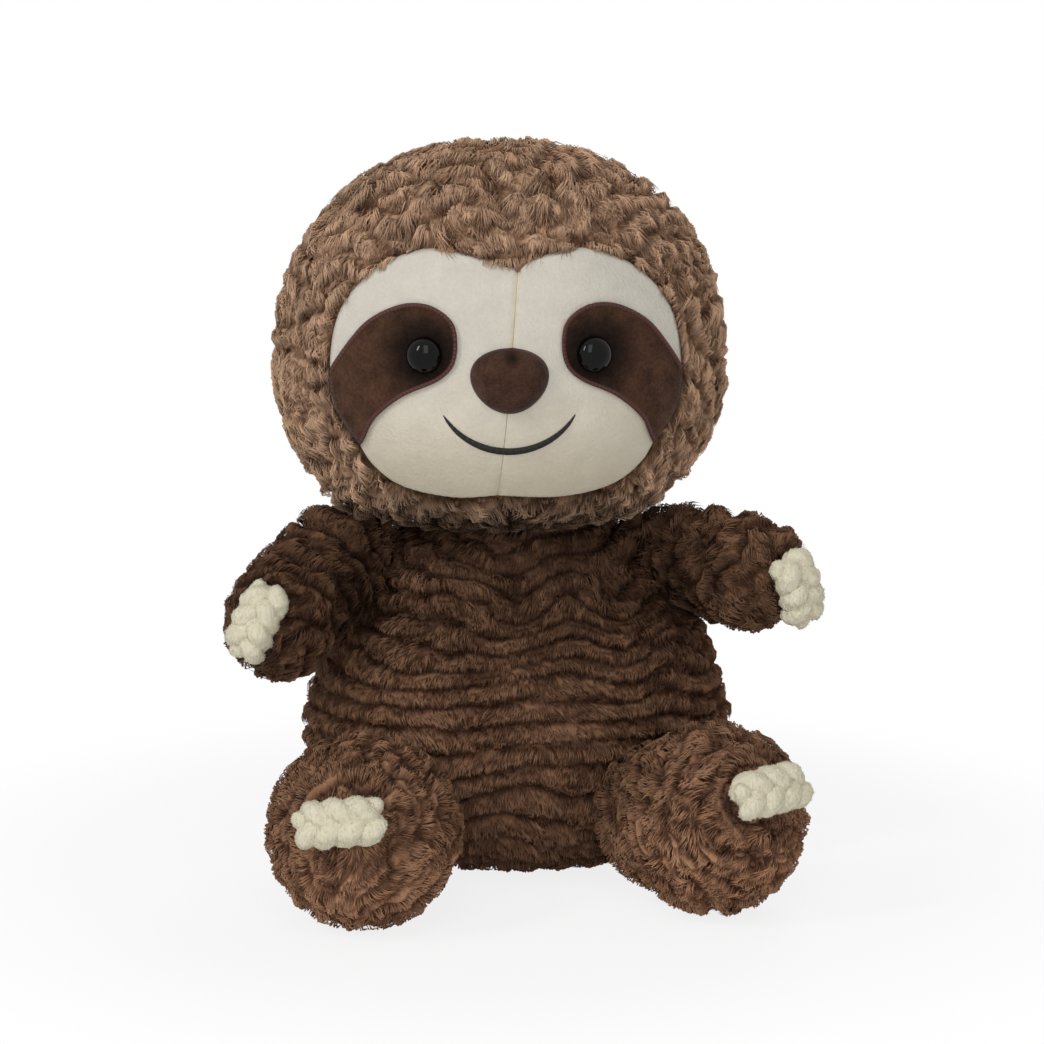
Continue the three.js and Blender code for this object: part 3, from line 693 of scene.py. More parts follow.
def smooth_line(points, steps, closed=False):
    """A Catmull-Rom curve through the points: between two of them it is the cubic whose slopes follow
    their neighbours."""
    points = np.asarray(points, float)
    if closed:
        padded = np.vstack([points[-1:], points, points[:2]])
    else:
        padded = np.vstack([2 * points[0] - points[1], points, 2 * points[-1] - points[-2]])
    a, b, c, d = padded[:-3, None], padded[1:-2, None], padded[2:-1, None], padded[3:, None]
    t = (np.arange(steps) / steps)[:, None]
    cubic = 2 * b + (c - a) * t + (2 * a - 5 * b + 4 * c - d) * t**2 + (3 * b - a - 3 * c + d) * t**3
    line = (cubic / 2).reshape(-1, points.shape[-1])
    return line if closed else np.vstack([line, points[-1:]])


def seam_at(height):
    """How far the slanting middle seam of the face lies to one side at a height."""
    return height * seam_slant


def half_face(side):
    """The edge of one half of the face, from the top notch round to the chin."""
    edge = face_edge_shares * [side * face_half_width, face_half_height]
    top, chin = top_notch_share * face_half_height, chin_notch_share * face_half_height
    return smooth_line(np.vstack([(seam_at(top), top), edge, (seam_at(chin), chin)]), 12)


face_outline = np.vstack([half_face(1), half_face(-1)[::-1]])


def inside(outline, x, y):
    """Which places lie inside a closed outline: a ray to the right crosses it an odd number of times."""
    ends = np.roll(outline, -1, axis=0)
    crossed = np.zeros(x.shape, int)
    for (x0, y0), (x1, y1) in zip(outline, ends):
        if y0 == y1:
            continue
        spans = (y0 <= y) != (y1 <= y)
        crossed += spans & (x < x0 + (y - y0) * (x1 - x0) / (y1 - y0))
    return crossed % 2 == 1


def past_edge(x, height):
    """How far places across and up the front of the head lie outside the face's edge, or inside with a
    minus."""
    flat = np.stack([x, height], axis=-1).reshape(-1, 2)
    gap = np.concatenate([
        np.linalg.norm(flat[start : start + 20000, None] - face_outline, axis=-1).min(axis=1)
        for start in range(0, len(flat), 20000)
    ])
    return np.where(inside(face_outline, flat[:, 0], flat[:, 1]), -gap, gap).reshape(x.shape)


def beyond_face(points):
    """The same for places anywhere on the head."""
    seen = off_head(points)
    return np.where(seen[..., 1] < 0, past_edge(seen[..., 0], seen[..., 2]), 1)


def head_flow(points):
    """The head's pile is brushed down from a crown that lies a little to the back."""
    crown = unit(np.array([0, 0.3, 1]))
    along = (unit(off_head(points)) * crown).sum(axis=-1)
    return 60 * mm * np.arccos(np.clip(along, -1, 1))


def head_shows(points):
    """Places on the head outside the face and clear of the neck: 1 where the fur is full."""
    clear = np.linalg.norm(points - neck_place, axis=-1) > neck_ring + 1.5 * mm
    return clear * np.clip(1 + beyond_face(points) / (1.5 * mm), 0, 1)


def head_clear(points, proud):
    """Points of the head kept out of the dish that the neck turns in. Fur may stand proud."""
    return keep_out(points, neck_place, neck_ring + 0.5 * mm - proud)


head_colours = [from_srgb(114, 84, 63), from_srgb(166, 132, 106), from_srgb(194, 160, 132)]
head_coat = {
    **body_coat,
    "seed": 31,
    "field": head_flow,
    "shows": head_shows,
    "clear": head_clear,
    # Painted shade: the pile under the chin is darker.
    "tone": lambda points: -0.46 * fade(-off_head(points)[..., 2], 29, 12),
    "bulk": lambda points: 1.1 + 1.1 * near(points, (-48, -22, 116), 11) + near(points, (44, -30, 114), 10)
    + near(points, (31, -32, 107), 8),
    "rises": lambda points: fade(beyond_face(points), -0.6, 3),
    "row": 11.5 * mm,
    "waves": [(50 * mm, 4 * mm), (20 * mm, 2.8 * mm), (9 * mm, 1.8 * mm), (3.5 * mm, 0.3 * mm)],
    "wild": everywhere,
    "nick": 7.5 * mm,
    "swirl": 0.3,
    "swirl_size": 28 * mm,
    "wisp": 0.5,
    "clump": 7 * mm,
    "uneven": 0.65,
    "longest": 10 * mm,
    "too_far": lambda tips: 0.8 * np.maximum(-beyond_face(tips) - 1.8 * mm, 0),
}
head_ground = matted_pile("head_ground", head_colours)
head_skin = fur_skin("head_skin", head_surface, 160, 300, head_coat, head_ground, "head")
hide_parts("head_cover", "head_filling")

# Head fur. The pile is brushed from the crown all ways down, in rows broken into full tufts, and it hangs
# over the edge of the face.
head_fur = fur("head_fur", head_colours)
head_parts = {
    "head_fur_left": lambda p: (p[:, 1] < 5 * mm) & (p[:, 0] < -5 * mm),
    "head_fur_right": lambda p: (p[:, 1] < 5 * mm) & (p[:, 0] >= -5 * mm),
    "head_fur_back_left": lambda p: (p[:, 1] >= 5 * mm) & (p[:, 0] < -5 * mm),
    "head_fur_back_right": lambda p: (p[:, 1] >= 5 * mm) & (p[:, 0] >= -5 * mm),
}
for part_name, strands in split(comb(head_surface, head_coat), head_parts).items():
    strand_mesh(part_name, strands, strand_radius, head_fur, "head")

# Face. Two halves of short cream velour meet at a slanting seam, padded by the filling behind them. Their
# outer edges are sewn in under the fur, and the seam, the eyes and the ends of the smile draw the cloth
# in.
panel_top, panel_under, applied_from = -1 * mm, -2.6 * mm, -0.7 * mm
eye_across, eye_up, eye_radius, eye_dome = 23.7 * mm, 7.5 * mm, 5.2 * mm, 3.9 * mm
smile_radius, smile_bottom, smile_half_width = 21.7 * mm, 19.7 * mm, 18.6 * mm
smile_half_angle = math.asin(smile_half_width / smile_radius)
smile_end = (smile_radius - smile_bottom) - smile_radius * math.cos(smile_half_angle)


def plump(x, height):
    """How far the padding lifts the face: a sum of soft round bulges and dimples, and a groove at the
    seam."""
    def bulge(across, up, size, lift):
        apart = (x - across * mm) ** 2 + (height - up * mm) ** 2
        return lift * mm * np.exp(-apart / (2 * (size * mm) ** 2))

    lift = bulge(0, -9, 13, 1.8) + bulge(0, 26, 8, -0.6)
    for side in (-1, 1):
        lift = lift + bulge(side * 27, -17, 9, 1.6) + bulge(side * 22, 25, 9, 1)
        lift = lift + bulge(side * eye_across / mm, eye_up / mm, 5, -0.9)
        lift = lift + bulge(side * smile_half_width / mm, smile_end / mm, 2.2, -0.7)
    seam = np.exp(-(((x - seam_at(height)) / (1.1 * mm)) ** 2))
    over_nose = 0.3 / (1 + np.exp(-(height - 6 * mm) / mm))
    at_chin = 0.7 * np.exp(-(((height + 33 * mm) / (4 * mm)) ** 2))
    return lift - (0.08 + over_nose + at_chin) * mm * seam


def head_front(x, height, grow):
    """The front of the head over a place across and up from its middle, grown out, where the toy has
    it."""
    reach = np.where(height > 0, head_form["above"], head_form["below"]) + grow
    roundness = np.where(height > 0, head_form["round_above"], head_form["round_below"])
    share = (1 - np.minimum(np.abs(height) / reach, 1) ** roundness) ** (1 / roundness)
    depth = np.sqrt(np.maximum(share**2 - (x / (head_form["half_width"] + grow)) ** 2, 0))
    return on_head(np.stack([x, -(head_form["front"] + grow) * depth, height], axis=-1))


def even_outline(outline, count):
    """A closed outline as evenly spaced points that run against the clock as seen from the front."""
    outline = np.asarray(outline)
    following = np.roll(outline, -1, axis=0)
    if (outline[:, 0] * following[:, 1] - outline[:, 1] * following[:, 0]).sum() < 0:
        outline = outline[::-1]
    ring = np.vstack([outline, outline[:1]])
    run = np.append(0, np.cumsum(np.linalg.norm(np.diff(ring, axis=0), axis=1)))
    at = np.arange(count) / count * run[-1]
    return np.stack([np.interp(at, run, ring[:, 0]), np.interp(at, run, ring[:, 1])], axis=-1)


def tucked(x, height):
    """How far cloth and thread sink where they pass the face's edge, in under the fur."""
    return 2.5 * np.maximum(past_edge(x, height) + 0.4 * mm, 0)


def sewn_cloth(outline, middle, top, under, roll, rings=36):
    """Cloth inside an outline on the front of the head. Rings shrink from the outline to its middle,
    closer together near the edge, where the top comes down to the underside along a quarter circle."""
    shares = 1 - (1 - np.linspace(0, 1, rings)) ** 2
    flat = middle + shares[:, None, None] * (outline - middle)
    x, height = flat[..., 0], flat[..., 1]
    gap = (1 - shares)[:, None] * np.linalg.norm(outline - middle, axis=-1)
    rise = np.sqrt(1 - (1 - np.minimum(gap / roll, 1)) ** 2)
    sink = tucked(x, height)
    upper = head_front(x, height, under + (top + plump(x, height) - under) * rise - sink)
    lower = head_front(x, height, under + np.minimum(plump(x, height), 0) - sink)
    return closed_grid(np.concatenate([lower[:-1:5], upper[::-1]]))


def velour(name, colour, shaded, streak):
    """Short dense pile: fine fibres and soft patches where it has been stroked either way, in its colour
    and bump. The colour goes over to a shaded one where the piece's own attribute "shaded" says so."""
    material, add = new_material(name)
    fibres = noise(add, 1000, Detail=4, Roughness=0.65)
    both = add("Math", {0: noise(add, 170, Detail=3), 1: fibres}, operation="ADD")["Value"]
    span = {"From Min": 0.65, "From Max": 1.35, "To Min": 1 - streak, "To Max": 1 + streak}
    streaks = add("MapRange", {"Value": both, **span})["Result"]
    tint = ramp(add, add("Attribute", attribute_name="shaded")["Fac"], {0: colour, 1: shaded})
    paint_all(add, {
        "Base Color": scaled(add, tint, streaks),
        "Roughness": 0.95,
        "Specular IOR Level": 0.1,
        "Sheen Weight": 0.12,
        "Sheen Roughness": 0.4,
        "Normal": bump(add, fibres, 0.5 * mm, 0.9),
    })
    return material


def points_of(piece):
    """The places of a piece's vertices."""
    points = np.empty(3 * len(piece.data.vertices))
    piece.data.vertices.foreach_get("co", points)
    return points.reshape(-1, 3)


cream_velour = velour("cream_velour", from_srgb(205, 199, 187), from_srgb(207, 190, 152), 0.07)
sides = {"left": -1, "right": 1}
for side_name, side in sides.items():
    heights = np.linspace(chin_notch_share, top_notch_share, 40)[1:-1] * face_half_height
    seam = np.stack([seam_at(heights) + side * 0.01 * mm, heights], axis=-1)
    outline = even_outline(np.vstack([half_face(side), seam]), 260)
    middle = np.array([side * 0.45 * face_half_width, 0])
    on_seam = np.abs(outline[:, 0] - seam_at(outline[:, 1])) < 0.2 * mm
    roll = np.where(on_seam, 0.04, 0.8) * mm
    vertices, faces = sewn_cloth(outline, middle, panel_top, panel_under, roll)
    panel = new_piece("face_" + side_name, vertices, faces, cream_velour, "head")
    seen = off_head(points_of(panel))
    near_seam = np.exp(-(((seen[:, 0] - seam_at(seen[:, 2])) / (0.7 * mm)) ** 2)) * (seen[:, 2] > 0)
    # Painted shade: the cream goes over to its shaded, yellower colour towards the chin and in the seam
    # above the nose.
    keep_values(panel, "shaded", np.clip(0.4 * fade(-seen[:, 2], -6, 36) + 0.6 * near_seam, 0, 1))
    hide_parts("face_panel_" + side_name)

# Eye patches. Short dark velour laid on the face, edged all round with close satin stitches in a redder
# thread. Their outer ends run in under the fur.
patch_shares = np.array([
    (0.304, 0.32), (0.334, 0.472), (0.45, 0.578), (0.6, 0.575), (0.77, 0.455), (0.89, 0.27), (1.01, 0),
    (1.08, -0.3), (0.96, -0.52), (0.85, -0.54), (0.764, -0.305), (0.606, -0.11), (0.41, 0.022),
    (0.324, 0.144),
])
patch_middle_share = np.array([0.62, 0.22])
patch_thickness, edging_width, edging_height, stitch = 0.9 * mm, 1.25 * mm, 0.5 * mm, 0.3 * mm
edging_rings, bead_corners = 300, 12


def bead(line, half_width, high, base, closed):
    """A flat bead of thread along a line on the front of the head. Each section is an ellipse across the
    line, and a closed line's last section comes before its first."""
    after = np.roll(line, -1, axis=0) if closed else np.vstack([line[1:], 2 * line[-1] - line[-2]])
    before = np.roll(line, 1, axis=0) if closed else np.vstack([2 * line[0] - line[1], line[:-1]])
    along = unit(after - before)
    aside = np.stack([along[:, 1], -along[:, 0]], axis=-1)
    turn = circle(bead_corners)
    flat = line[:, None] + (half_width[:, None] * np.cos(turn))[..., None] * aside[:, None]
    x, height = flat[..., 0], flat[..., 1]
    sink = tucked(x, height)
    lift = high[:, None] * np.maximum(np.sin(turn), 0) + 0.5 * mm * np.minimum(np.sin(turn), 0)
    return head_front(x, height, base + plump(x, height) + lift - sink)


def ring_faces(rings, around):
    """The faces of a closed tube whose last ring is joined to its first."""
    ring, column = np.arange(rings)[:, None] * around, np.arange(around)
    next_ring, next_column = np.roll(ring, -1, axis=0), np.roll(column, -1)
    quads = [ring + column, next_ring + column, next_ring + next_column, ring + next_column]
    return np.stack(quads, axis=-1).reshape(-1, 4)


def thread(name, colour, gloss):
    """Rayon thread in close stitches: fine ridges a stitch apart across the bead, with painted light on
    their crests and painted shade between them."""
    material, add = new_material(name)
    run = {"Vector": add("UVMap", uv_map="stitches")["UV"], "Scale": 1 / stitch / 20}
    ridges = add("TexWave", {**run, "Distortion": 1.5, "Detail": 2})["Fac"]
    paint_all(add, {
        "Base Color": ramp(add, ridges, {0: 0.7 * colour, 1: 1.2 * colour}),
        "Roughness": gloss,
        "Specular IOR Level": 0.4,
        "Normal": bump(add, ridges, 0.15 * mm),
    })
    return material


def mark_stitches(piece, rings, closed):
    """A UV map in metres along and round a bead, read from each corner's vertex number, for its
    stitches."""
    mesh, around = piece.data, bead_corners
    corners = np.empty(len(mesh.loops), int)
    mesh.loops.foreach_get("vertex_index", corners)
    if not closed:
        corners = np.clip(corners - 1 + around, 0, (rings - 1) * around)
    steps = np.linalg.norm(np.diff(points_of(piece)[around::around], axis=0), axis=1)
    ring, column = corners // around, corners % around
    uv = np.stack([ring * steps.mean(), column / around * 3 * mm], axis=-1)
    mesh.uv_layers.new(name="stitches").data.foreach_set("uv", uv.astype(np.float32).ravel())


dark_velour = velour("dark_velour", from_srgb(80, 54, 40), from_srgb(26, 18, 14), 0.6)
satin_thread = thread("satin_thread", from_srgb(68, 31, 22), 0.6)
for side_name, side in sides.items():
    shape = patch_shares * [side * face_half_width, face_half_height]
    outline = even_outline(smooth_line(shape, 12, closed=True), 240)
    middle = patch_middle_share * [side * face_half_width, face_half_height]
    patch_top = applied_from + patch_thickness
    vertices, faces = sewn_cloth(outline, middle, patch_top, applied_from, 0.6 * mm)
    patch = new_piece("patch_" + side_name, vertices, faces, dark_velour, "head")
    seen = off_head(points_of(patch))
    from_eye = np.hypot(seen[:, 0] - side * eye_across, seen[:, 2] - eye_up)
    past_eye = np.maximum(from_eye - eye_radius, 0)
    # The velour goes over to its shaded colour round the eye: partly the cloth's own darker colour, partly
    # painted shadow where the eye sits in it.
    keep_values(patch, "shaded", 0.25 + 0.75 * np.exp(-((past_eye / (7 * mm)) ** 2)))
    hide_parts("eye_patch_" + side_name)
    line = even_outline(outline, edging_rings)
    full = np.ones(edging_rings)
    points = bead(line, edging_width / 2 * full, edging_height * full, applied_from + 0.7 * mm, True)
    vertices, faces = points.reshape(-1, 3), ring_faces(edging_rings, bead_corners).tolist()
    edging = new_piece("patch_edging_" + side_name, vertices, faces, satin_thread, "head")
    mark_stitches(edging, edging_rings, True)
    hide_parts("eye_patch_edging_" + side_name)

# Eyes. Polished black safety eyes, domed, pushed through the patches so that the cloth dips round them,
# with a washer behind.
def lathe(profile, base, out, around):
    """A profile of radius and height turned round an axis, from a first point on the axis to a last
    one."""
    side = unit(np.cross(out, [0, 0, 1]))
    top = np.cross(side, out)
    turn = circle(around)[:, None]
    round_way = np.cos(turn) * top + np.sin(turn) * side
    return closed_grid(base + profile[:, :1, None] * round_way + profile[:, 1:, None] * out)


def polished(name, colour):
    """Hard black plastic with a deep polish, a breath of dust and hair-fine scratches in its
    roughness."""
    material, add = new_material(name)
    dust = noise(add, 700)
    paint_all(add, {
        "Base Color": ramp(add, dust, {0: colour, 1: 2 * colour}),
        "Roughness": between(add, dust, 0.02, 0.07),
        "Specular IOR Level": 0.15,
    })
    return material


eye_plastic = polished("eye_plastic", from_srgb(5, 4, 4))
for side_name, side in sides.items():
    apart = 0.1 * mm
    x = side * eye_across + apart * np.array([0, 1, -1, 0, 0])
    height = eye_up + apart * np.array([0, 0, 0, 1, -1])
    seat, right, left, above, below = head_front(x, height, applied_from + patch_thickness)
    out = unit(np.cross(right - left, above - below))
    angle = np.linspace(0, math.pi / 2, 20)
    dome = np.stack([eye_radius * np.cos(angle), eye_dome * np.sin(angle)], axis=-1)
    profile = np.vstack([[(0, -3 * mm), (2 * mm, -3 * mm), (0.96 * eye_radius, -0.9 * mm)], dome])
    vertices, faces = lathe(profile, seat + 0.3 * mm * out, out, 48)
    eye = new_piece("eye_dome_" + side_name, vertices, faces, eye_plastic, "head")
    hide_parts("eye_" + side_name)

# Nose. A small stuffed pillow of brown velour, wider above its middle, stitched down at its edge. A
# stitch at its top, where the face's seam comes in, pulls a dimple into it.
nose_half_width, nose_half_height, nose_thickness = 11 * mm, 9.3 * mm, 7 * mm
nose_up, nose_widening, nose_round = 0.5 * mm, 0.16, 2.1
dimple = np.array([0.6 * mm, nose_up + 0.72 * nose_half_height])
nose_around, nose_rings = 96, 40
turn = circle(nose_around)
shares = np.linspace(0, 1, nose_rings)[:, None]
across = nose_half_width * np.cos(turn) * (1 + nose_widening * np.sin(turn))
flat_x, flat_up = shares * across, nose_up + shares * nose_half_height * np.sin(turn)
seat = head_front(flat_x, flat_up, applied_from)
full = (1 - shares**nose_round) ** (1 / nose_round) * nose_thickness
from_dimple = np.hypot(flat_x - dimple[0], flat_up - dimple[1])
full = full - 2 * mm * np.exp(-((from_dimple / (1.5 * mm)) ** 2) / 2) * (shares < 0.98)
upper = seat - np.stack([0 * full, full, 0 * full], axis=-1)
lower = head_front(flat_x, flat_up, applied_from - 0.5 * mm)
vertices, faces = closed_grid(np.concatenate([lower, upper[::-1]]))
nose_velour = velour("nose_velour", from_srgb(66, 45, 35), from_srgb(26, 17, 14), 0.6)
nose = new_piece("nose_pillow", vertices, faces, nose_velour, "head")
seen = off_head(points_of(nose))
# Painted shade in the dimple that the stitch pulls in.
keep_values(nose, "shaded", np.exp(-(np.hypot(*(seen[:, [0, 2]] - dimple).T) / (2.2 * mm)) ** 2))
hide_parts("nose")

# Mouth. A smile in black satin stitch, thickest in its middle and drawn out to points. It is embroidered
# through the face, which dimples at its ends.
smile_rings = 121
share = np.linspace(-1, 1, smile_rings)
angle = share * smile_half_angle
line = smile_radius * np.stack([np.sin(angle), 1 - np.cos(angle)], axis=-1) - [0, smile_bottom]
thick = 1.05 * mm * (1 - 0.65 * share**2) * np.sqrt(np.clip(1 - np.abs(share) ** 12, 0.02, 1))
points = bead(line, thick, 0.55 * thick / 0.85 + 0.1 * mm, panel_top, False)
vertices, faces = closed_grid(points[:, ::-1])
black_thread = thread("black_thread", from_srgb(30, 26, 25), 0.7)
mouth = new_piece("smile", vertices, faces, black_thread, "head")
mark_stitches(mouth, smile_rings, False)
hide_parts("mouth_embroidery")

# Limbs. Each arm is a stuffed stub and each leg a fat pear of the body's plush, closed and with round
# ends. The pile runs down the arms, and over the feet it is brushed away from the claws.
def bent_line(places, t):
    """A parabola through three places, and its direction."""
    a, b, c = places
    t = t[..., None]
    line = a * (2 * t - 1) * (t - 1) + 4 * b * t * (1 - t) + c * t * (2 * t - 1)
    slope = a * (4 * t - 3) + b * (4 - 8 * t) + c * (4 * t - 1)
    return line, unit(slope)


def heading(bearing, rise):
    """The way of a bearing in degrees from straight ahead towards the right, and of a rise above
    level."""
    bearing, rise = math.radians(bearing), math.radians(rise)
    level = math.cos(rise)
    return np.array([level * math.sin(bearing), -level * math.cos(bearing), math.sin(rise)])


def arm_line(bearing, reach, drop, bow):
    """Root, middle and hand of an arm: it reaches out level, rises by the bow and ends lower by the
    drop."""
    out = heading(bearing, 0) * reach
    return np.array([[0, 0, 0], out / 2 + [0, 0, bow - drop / 2], out - [0, 0, drop]])


hip_height = 25.5 * mm


def leg_line(bearing, reach):
    """Root, middle and paw of a leg that lies with its foot on the floor."""
    foot = heading(bearing, 0) * reach + [0, 0, leg_tip - 0.5 * mm - hip_height]
    return np.array([[0, 0, 0], foot / 2, foot])


limbs = {
    "arm_left": {"line": arm_line(-43, 31 * mm, 13.5 * mm, 4.9 * mm), "claws": (-18, 12, 68)},
    "arm_right": {"line": arm_line(40, 32.5 * mm, -1.5 * mm, 1 * mm), "claws": (39, -5, 112)},
    "leg_left": {"line": leg_line(-10, 22 * mm), "claws": (-11, 19, 8)},
    "leg_right": {"line": leg_line(46, 15 * mm), "claws": (36, 27, 3)},
}


def limb_surface(limb, grow):
    """A tube round a bent line whose radius swells from root to tip, with half a ball at each end. v is
    shared out over the two caps and the tube by their lengths."""
    root, tip = limb["root"] + grow, limb["tip"] + grow
    length = np.linalg.norm(limb["line"][2] - limb["line"][0])
    root_cap, tip_cap = math.pi / 2 * root, math.pi / 2 * tip
    total = root_cap + length + tip_cap

    def surface(u, v):
        run = np.clip(v, 0, 1) * total
        low = np.clip(run / root, 0, math.pi / 2)
        t = np.clip((run - root_cap) / length, 0, 1)
        high = np.clip((run - root_cap - length) / tip, 0, math.pi / 2)
        centre, way = bent_line(limb["line"], t)
        side = unit(np.cross(way, [0, 0, 1]))
        top = np.cross(side, way)
        swell = root + (tip - root) * t * t * (3 - 2 * t)
        radius = (np.sin(low) * swell * np.cos(high))[..., None]
        axial = (tip * np.sin(high) - root * np.cos(low))[..., None]
        turn = 2 * math.pi * u[..., None]
        around = radius * (top * np.sin(turn) - side * np.cos(turn))
        return centre + axial * way + around + limb["place"]

    return surface


def limb_shows(points):
    """Places on a limb that stand clear of the body and the floor."""
    inner = points - body_form["middle"]
    level = np.hypot(inner[..., 0] / body_form["half_width"], inner[..., 1] / body_form["front"])
    up = inner[..., 2] / np.where(inner[..., 2] > 0, body_form["above"], body_form["below"])
    return (level**2 + np.abs(up) ** body_form["round_above"] > 0.72) & (points[..., 2] > 1.5 * mm)


# The legs' colours are a lighter copy of the body's, painted light on the feet; their tone takes it back
# where they meet the body.
lit_leg_colours = [from_srgb(58, 41, 31), from_srgb(111, 80, 62), from_srgb(143, 108, 83)]
leg_ground, leg_fur = matted_pile("leg_ground", lit_leg_colours), fur("leg_fur", lit_leg_colours)
for limb_number, (name, limb) in enumerate(limbs.items()):
    kind, side_name = name.split("_")
    is_arm = kind == "arm"
    place = joint_place[("shoulder_" if is_arm else "hip_") + side_name]
    paw = place + limb["line"][2]
    out, claw_way = unit(limb["line"][2]), heading(*limb["claws"][:2])
    limb["place"], limb["paw"] = place, paw
    limb["root"], limb["tip"] = (arm_root, arm_tip) if is_arm else (leg_root, leg_tip)
    ground, pile_material = (body_ground, body_fur) if is_arm else (leg_ground, leg_fur)
    surface = limb_surface(limb, -pile)

    def arm_flow(points):
        """The pile on an arm is brushed from the shoulder to the hand."""
        return (points - place) @ out

    def leg_flow(points):
        """The pile on a leg is brushed away from the claws, all ways round the foot."""
        along = (unit(points - paw) * claw_way).sum(axis=-1)
        return 28 * mm * np.arccos(np.clip(along, -1, 1))

    def arm_tone(points):
        """Painted shade: an arm is darker where the head shades it, towards the shoulder, with the painted
        shade of the armpit and the painted light on its top.
        """
        return crease_shade(points) + painted_top_light(points) - (0.28 - 0.18 * fade(arm_flow(points), 0, 40))

    def leg_tone(points):
        """Painted light: the front of a foot is lighter, low down most, where the light falls on it, and a
        leg is as dark as the body where they meet, with the painted shade of the fold."""
        to_front, low = fade(paw[1] - points[..., 1], -14, 28), fade(paw[2] - points[..., 2], -10, 20)
        return 0.42 * to_front * (0.42 + 0.58 * low) - 0.09 + crease_shade(points)

    def limb_bulk(points):
        """The pile is deeper on top of an arm where it meets the head."""
        return 1 + is_arm * (1.1 if side_name == "left" else 0.5) * near(points, place / mm + [0, 0, 12], 10)

    coat = {
        **body_coat,
        "seed": 51 + 30 * limb_number,
        "field": arm_flow if is_arm else leg_flow,
        "shows": limb_shows,
        "clear": lambda points, proud: np.maximum(points, [-np.inf, -np.inf, 1 * mm]),
        "tone": arm_tone if is_arm else leg_tone,
        "bulk": limb_bulk,
        "row": 8.5 * mm,
        "waves": [(40 * mm, 3 * mm), (16 * mm, 1.8 * mm), (8 * mm, 0.9 * mm), (3.5 * mm, 0.3 * mm)],
        "wild": everywhere,
        "nick": 6.5 * mm,
        "swirl": 0.45,
        "swirl_size": 22 * mm,
        "wisp": 0.5,
        "clump": 6 * mm,
        "uneven": 0.6,
        "longest": 9 * mm,
        "each_area": 0.4 * mm**2,
    }
    limb_skin = fur_skin(name + "_skin", surface, 110, 130, coat, ground, name)
    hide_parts(name + "_cover", name + "_filling")
    strand_mesh(name + "_fur", comb(surface, coat), strand_radius, pile_material, name)

# Claws. Three thick chenille yarns plaited flat, laid across the tip of each paw and sewn down at both
# ends. A nap of short fibres stands off the yarn all round.
arm_claw_length, leg_claw_length, claw_half_height, claw_sink = 25 * mm, 27.5 * mm, 4.2 * mm, 1.3 * mm
yarn_radius, plait_across, plait_rise, plait_turns = 3.2 * mm, 3.7 * mm, 1.5 * mm, 1.34
yarn_count, yarn_rings, yarn_around, nap_radius = 3, 72, 28, 0.1 * mm
yarn_colours = [from_srgb(164, 150, 118), from_srgb(216, 209, 185), from_srgb(231, 226, 208)]


def turned(way, axis, angle):
    """A direction turned about a unit axis: the part along the axis stays and the rest goes round."""
    stays = axis * (axis @ way)
    return stays + np.cos(angle)[..., None] * (way - stays) + np.sin(angle)[..., None] * np.cross(axis, way)


def yarn_surface(limb, number):
    """One yarn of a plait. It swings across by a sine and over and under by a sine of twice that, a third
    of a turn behind the yarn before it, and the plait bends round the paw. Its ends are round."""
    bearing, rise, roll = limb["claws"]
    towards = heading(bearing, rise)
    level = unit(np.cross(towards, [0, 0, 1]))
    along = turned(level, towards, np.array(math.radians(roll)))
    across = np.cross(towards, along)
    reach = limb["tip"] + claw_half_height - claw_sink
    length = (arm_claw_length if limb["tip"] == arm_tip else leg_claw_length) - yarn_radius

    def centre(share):
        turn = 2 * math.pi * (plait_turns * share + number / yarn_count)
        out = turned(towards, across, share * length / reach)
        aside, high = plait_across * np.sin(turn), plait_rise * np.sin(2 * turn)
        return limb["paw"] + out * (reach + high)[..., None] + across * aside[..., None], out

    def surface(u, v):
        share = v - 0.5
        middle, out = centre(share)
        way = unit(centre(share + 0.01)[0] - centre(share - 0.01)[0])
        side = unit(np.cross(way, out))
        top = np.cross(side, way)
        turn = 2 * math.pi * u
        round_way = np.cos(turn)[..., None] * top + np.sin(turn)[..., None] * side
        ending = np.clip(1 - np.abs(2 * share) ** 7, 0, 1) ** 0.5
        place = middle + (yarn_radius * ending)[..., None] * round_way
        flat = place.reshape(-1, 3)
        lumps = ripple(flat, 3 * mm, 0.16 * mm, 91) + ripple(flat, 1.1 * mm, 0.1 * mm, 92)
        return place + round_way * (lumps.reshape(u.shape) * ending)[..., None]

    return surface


def yarn_nap(surface, seed):
    """Short fibres that stand off a yarn, told as strands."""
    rng = np.random.default_rng(seed)
    u, v = spread(surface, 0.4 * mm**2, seed + 1)
    place, normal, along_u, _ = surface_frame(surface, u, np.clip(v, 0.01, 0.99))
    lean = unit(normal + rng.normal(0, 0.6, normal.shape))
    long = rng.uniform(0.2, 0.45, len(place))[:, None] * mm
    heights = np.tile([0.55, 0.75, 0.98], (len(place), 1))
    shade = np.clip(rng.normal(0.5, 0.08, len(place)), 0.1, 0.9)
    root, middle, tip = place - 0.2 * mm * normal, place + 0.45 * long * lean, place + long * lean
    return root, middle, tip, unit(along_u), shade, heights


yarn_ground = matted_pile("cream_yarn", yarn_colours)
yarn_fibre = fur("cream_nap", yarn_colours)
for limb_number, (name, limb) in enumerate(limbs.items()):
    vertices, faces, naps = np.empty((0, 3)), [], []
    for number in range(yarn_count):
        surface = yarn_surface(limb, number)
        yarn_vertices, yarn_faces = closed_grid(surface(*grid_uv(yarn_rings, yarn_around)), len(vertices))
        vertices, faces = np.vstack([vertices, yarn_vertices]), faces + yarn_faces
        naps.append(yarn_nap(surface, 201 + 10 * limb_number + 3 * number))
    claws = new_piece(name + "_plait", vertices, faces, yarn_ground, name)
    keep_values(claws, "height", np.full(len(vertices), 0.55))
    keep_values(claws, "shade", np.full(len(vertices), 0.5))
    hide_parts(name + "_claws")
    nap = [np.concatenate(parts) for parts in zip(*naps)]
    strand_mesh(name + "_nap", nap, nap_radius, yarn_fibre, name)

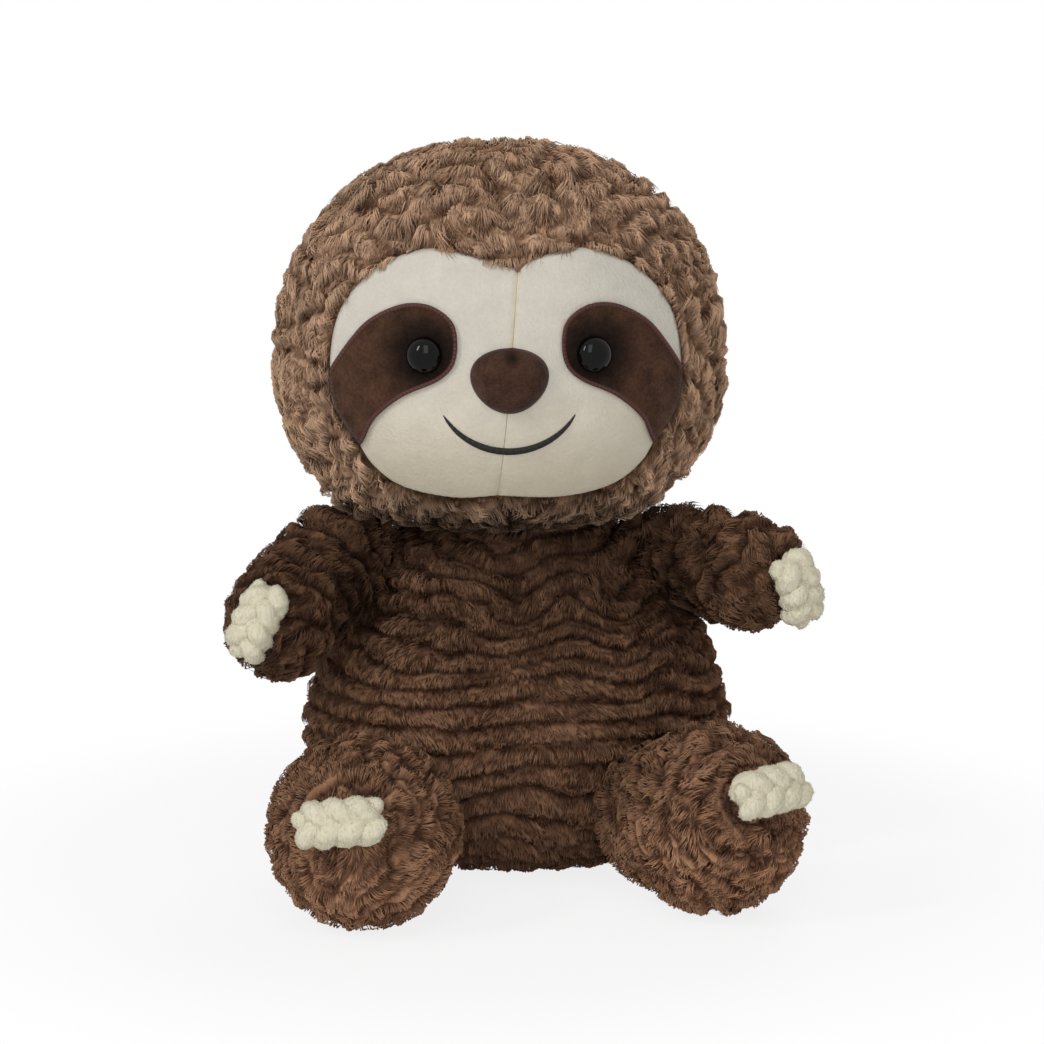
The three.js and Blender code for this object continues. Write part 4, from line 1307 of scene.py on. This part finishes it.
# Neck. The turned-in edges of the head and the body, sewn together and gathered in small pleats, make the
# ring that the head turns on. The pile hides it.
def knitted(name, colour):
    """Jersey: wales and courses a millimetre apart, as two crossed waves in its colour and bump."""
    material, add = new_material(name)
    waves = {"Vector": add("TexCoord")["Object"], "Scale": 50, "Distortion": 1}
    wales, courses = (add("TexWave", waves, bands_direction=direction)["Fac"] for direction in ("X", "Y"))
    crossed = add("Math", {0: wales, 1: courses}, operation="MULTIPLY")["Value"]
    paint_all(add, {
        "Base Color": ramp(add, crossed, {0: 0.6 * colour, 1: 1.3 * colour}),
        "Roughness": 0.95,
        "Normal": bump(add, crossed, 0.2 * mm),
    })
    return material


ring_hole, ring_edge, ring_low, ring_thickness = 10.4 * mm, 22.6 * mm, neck_dome + 0.1 * mm, 1.1 * mm
ring_steps, ring_across, pleats = 240, 16, 40
outward = np.linspace(ring_hole, ring_edge, ring_across)
across = np.append(outward, outward[::-1])
upper = np.repeat([0, 1], ring_across)
turn = circle(ring_steps)[:, None]
pleat = 0.5 + 0.5 * np.sin(pleats * turn + 0.8 * np.sin(3 * turn))
gathered = ring_thickness * (1 - 0.45 * pleat * (across / ring_edge) ** 2)
radius = ring_low + upper * gathered
level = across * np.cos(turn), across * np.sin(turn)
points = np.stack([*level, np.sqrt(radius**2 - across**2)], axis=-1) + neck_place
ring_cloth = knitted("backing_cloth", from_srgb(74, 54, 43))
vertices, faces = points.reshape(-1, 3), ring_faces(ring_steps, 2 * ring_across).tolist()
ring = new_piece("neck_gather", vertices, faces, ring_cloth, "neck")
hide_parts("neck_seam_ring")

# Inside. The washers that lock the eyes' stems behind the face are moulded in white plastic. They keep
# their CAD solids and only get their material here.
def moulded(name, colour):
    """Matt plastic with faint flow marks and a fine grain in its colour and bump."""
    material, add = new_material(name)
    grain = noise(add, 600)
    paint_all(add, {
        "Base Color": ramp(add, grain, {0: 0.85 * colour, 1: colour}),
        "Roughness": 0.5,
        "Normal": bump(add, grain, 0.05 * mm),
    })
    return material


washer_white = moulded("washer_white", from_srgb(220, 220, 218))
for side_name in sides:
    bpy.data.objects["eye_washer_" + side_name].material_slots[0].material = washer_white
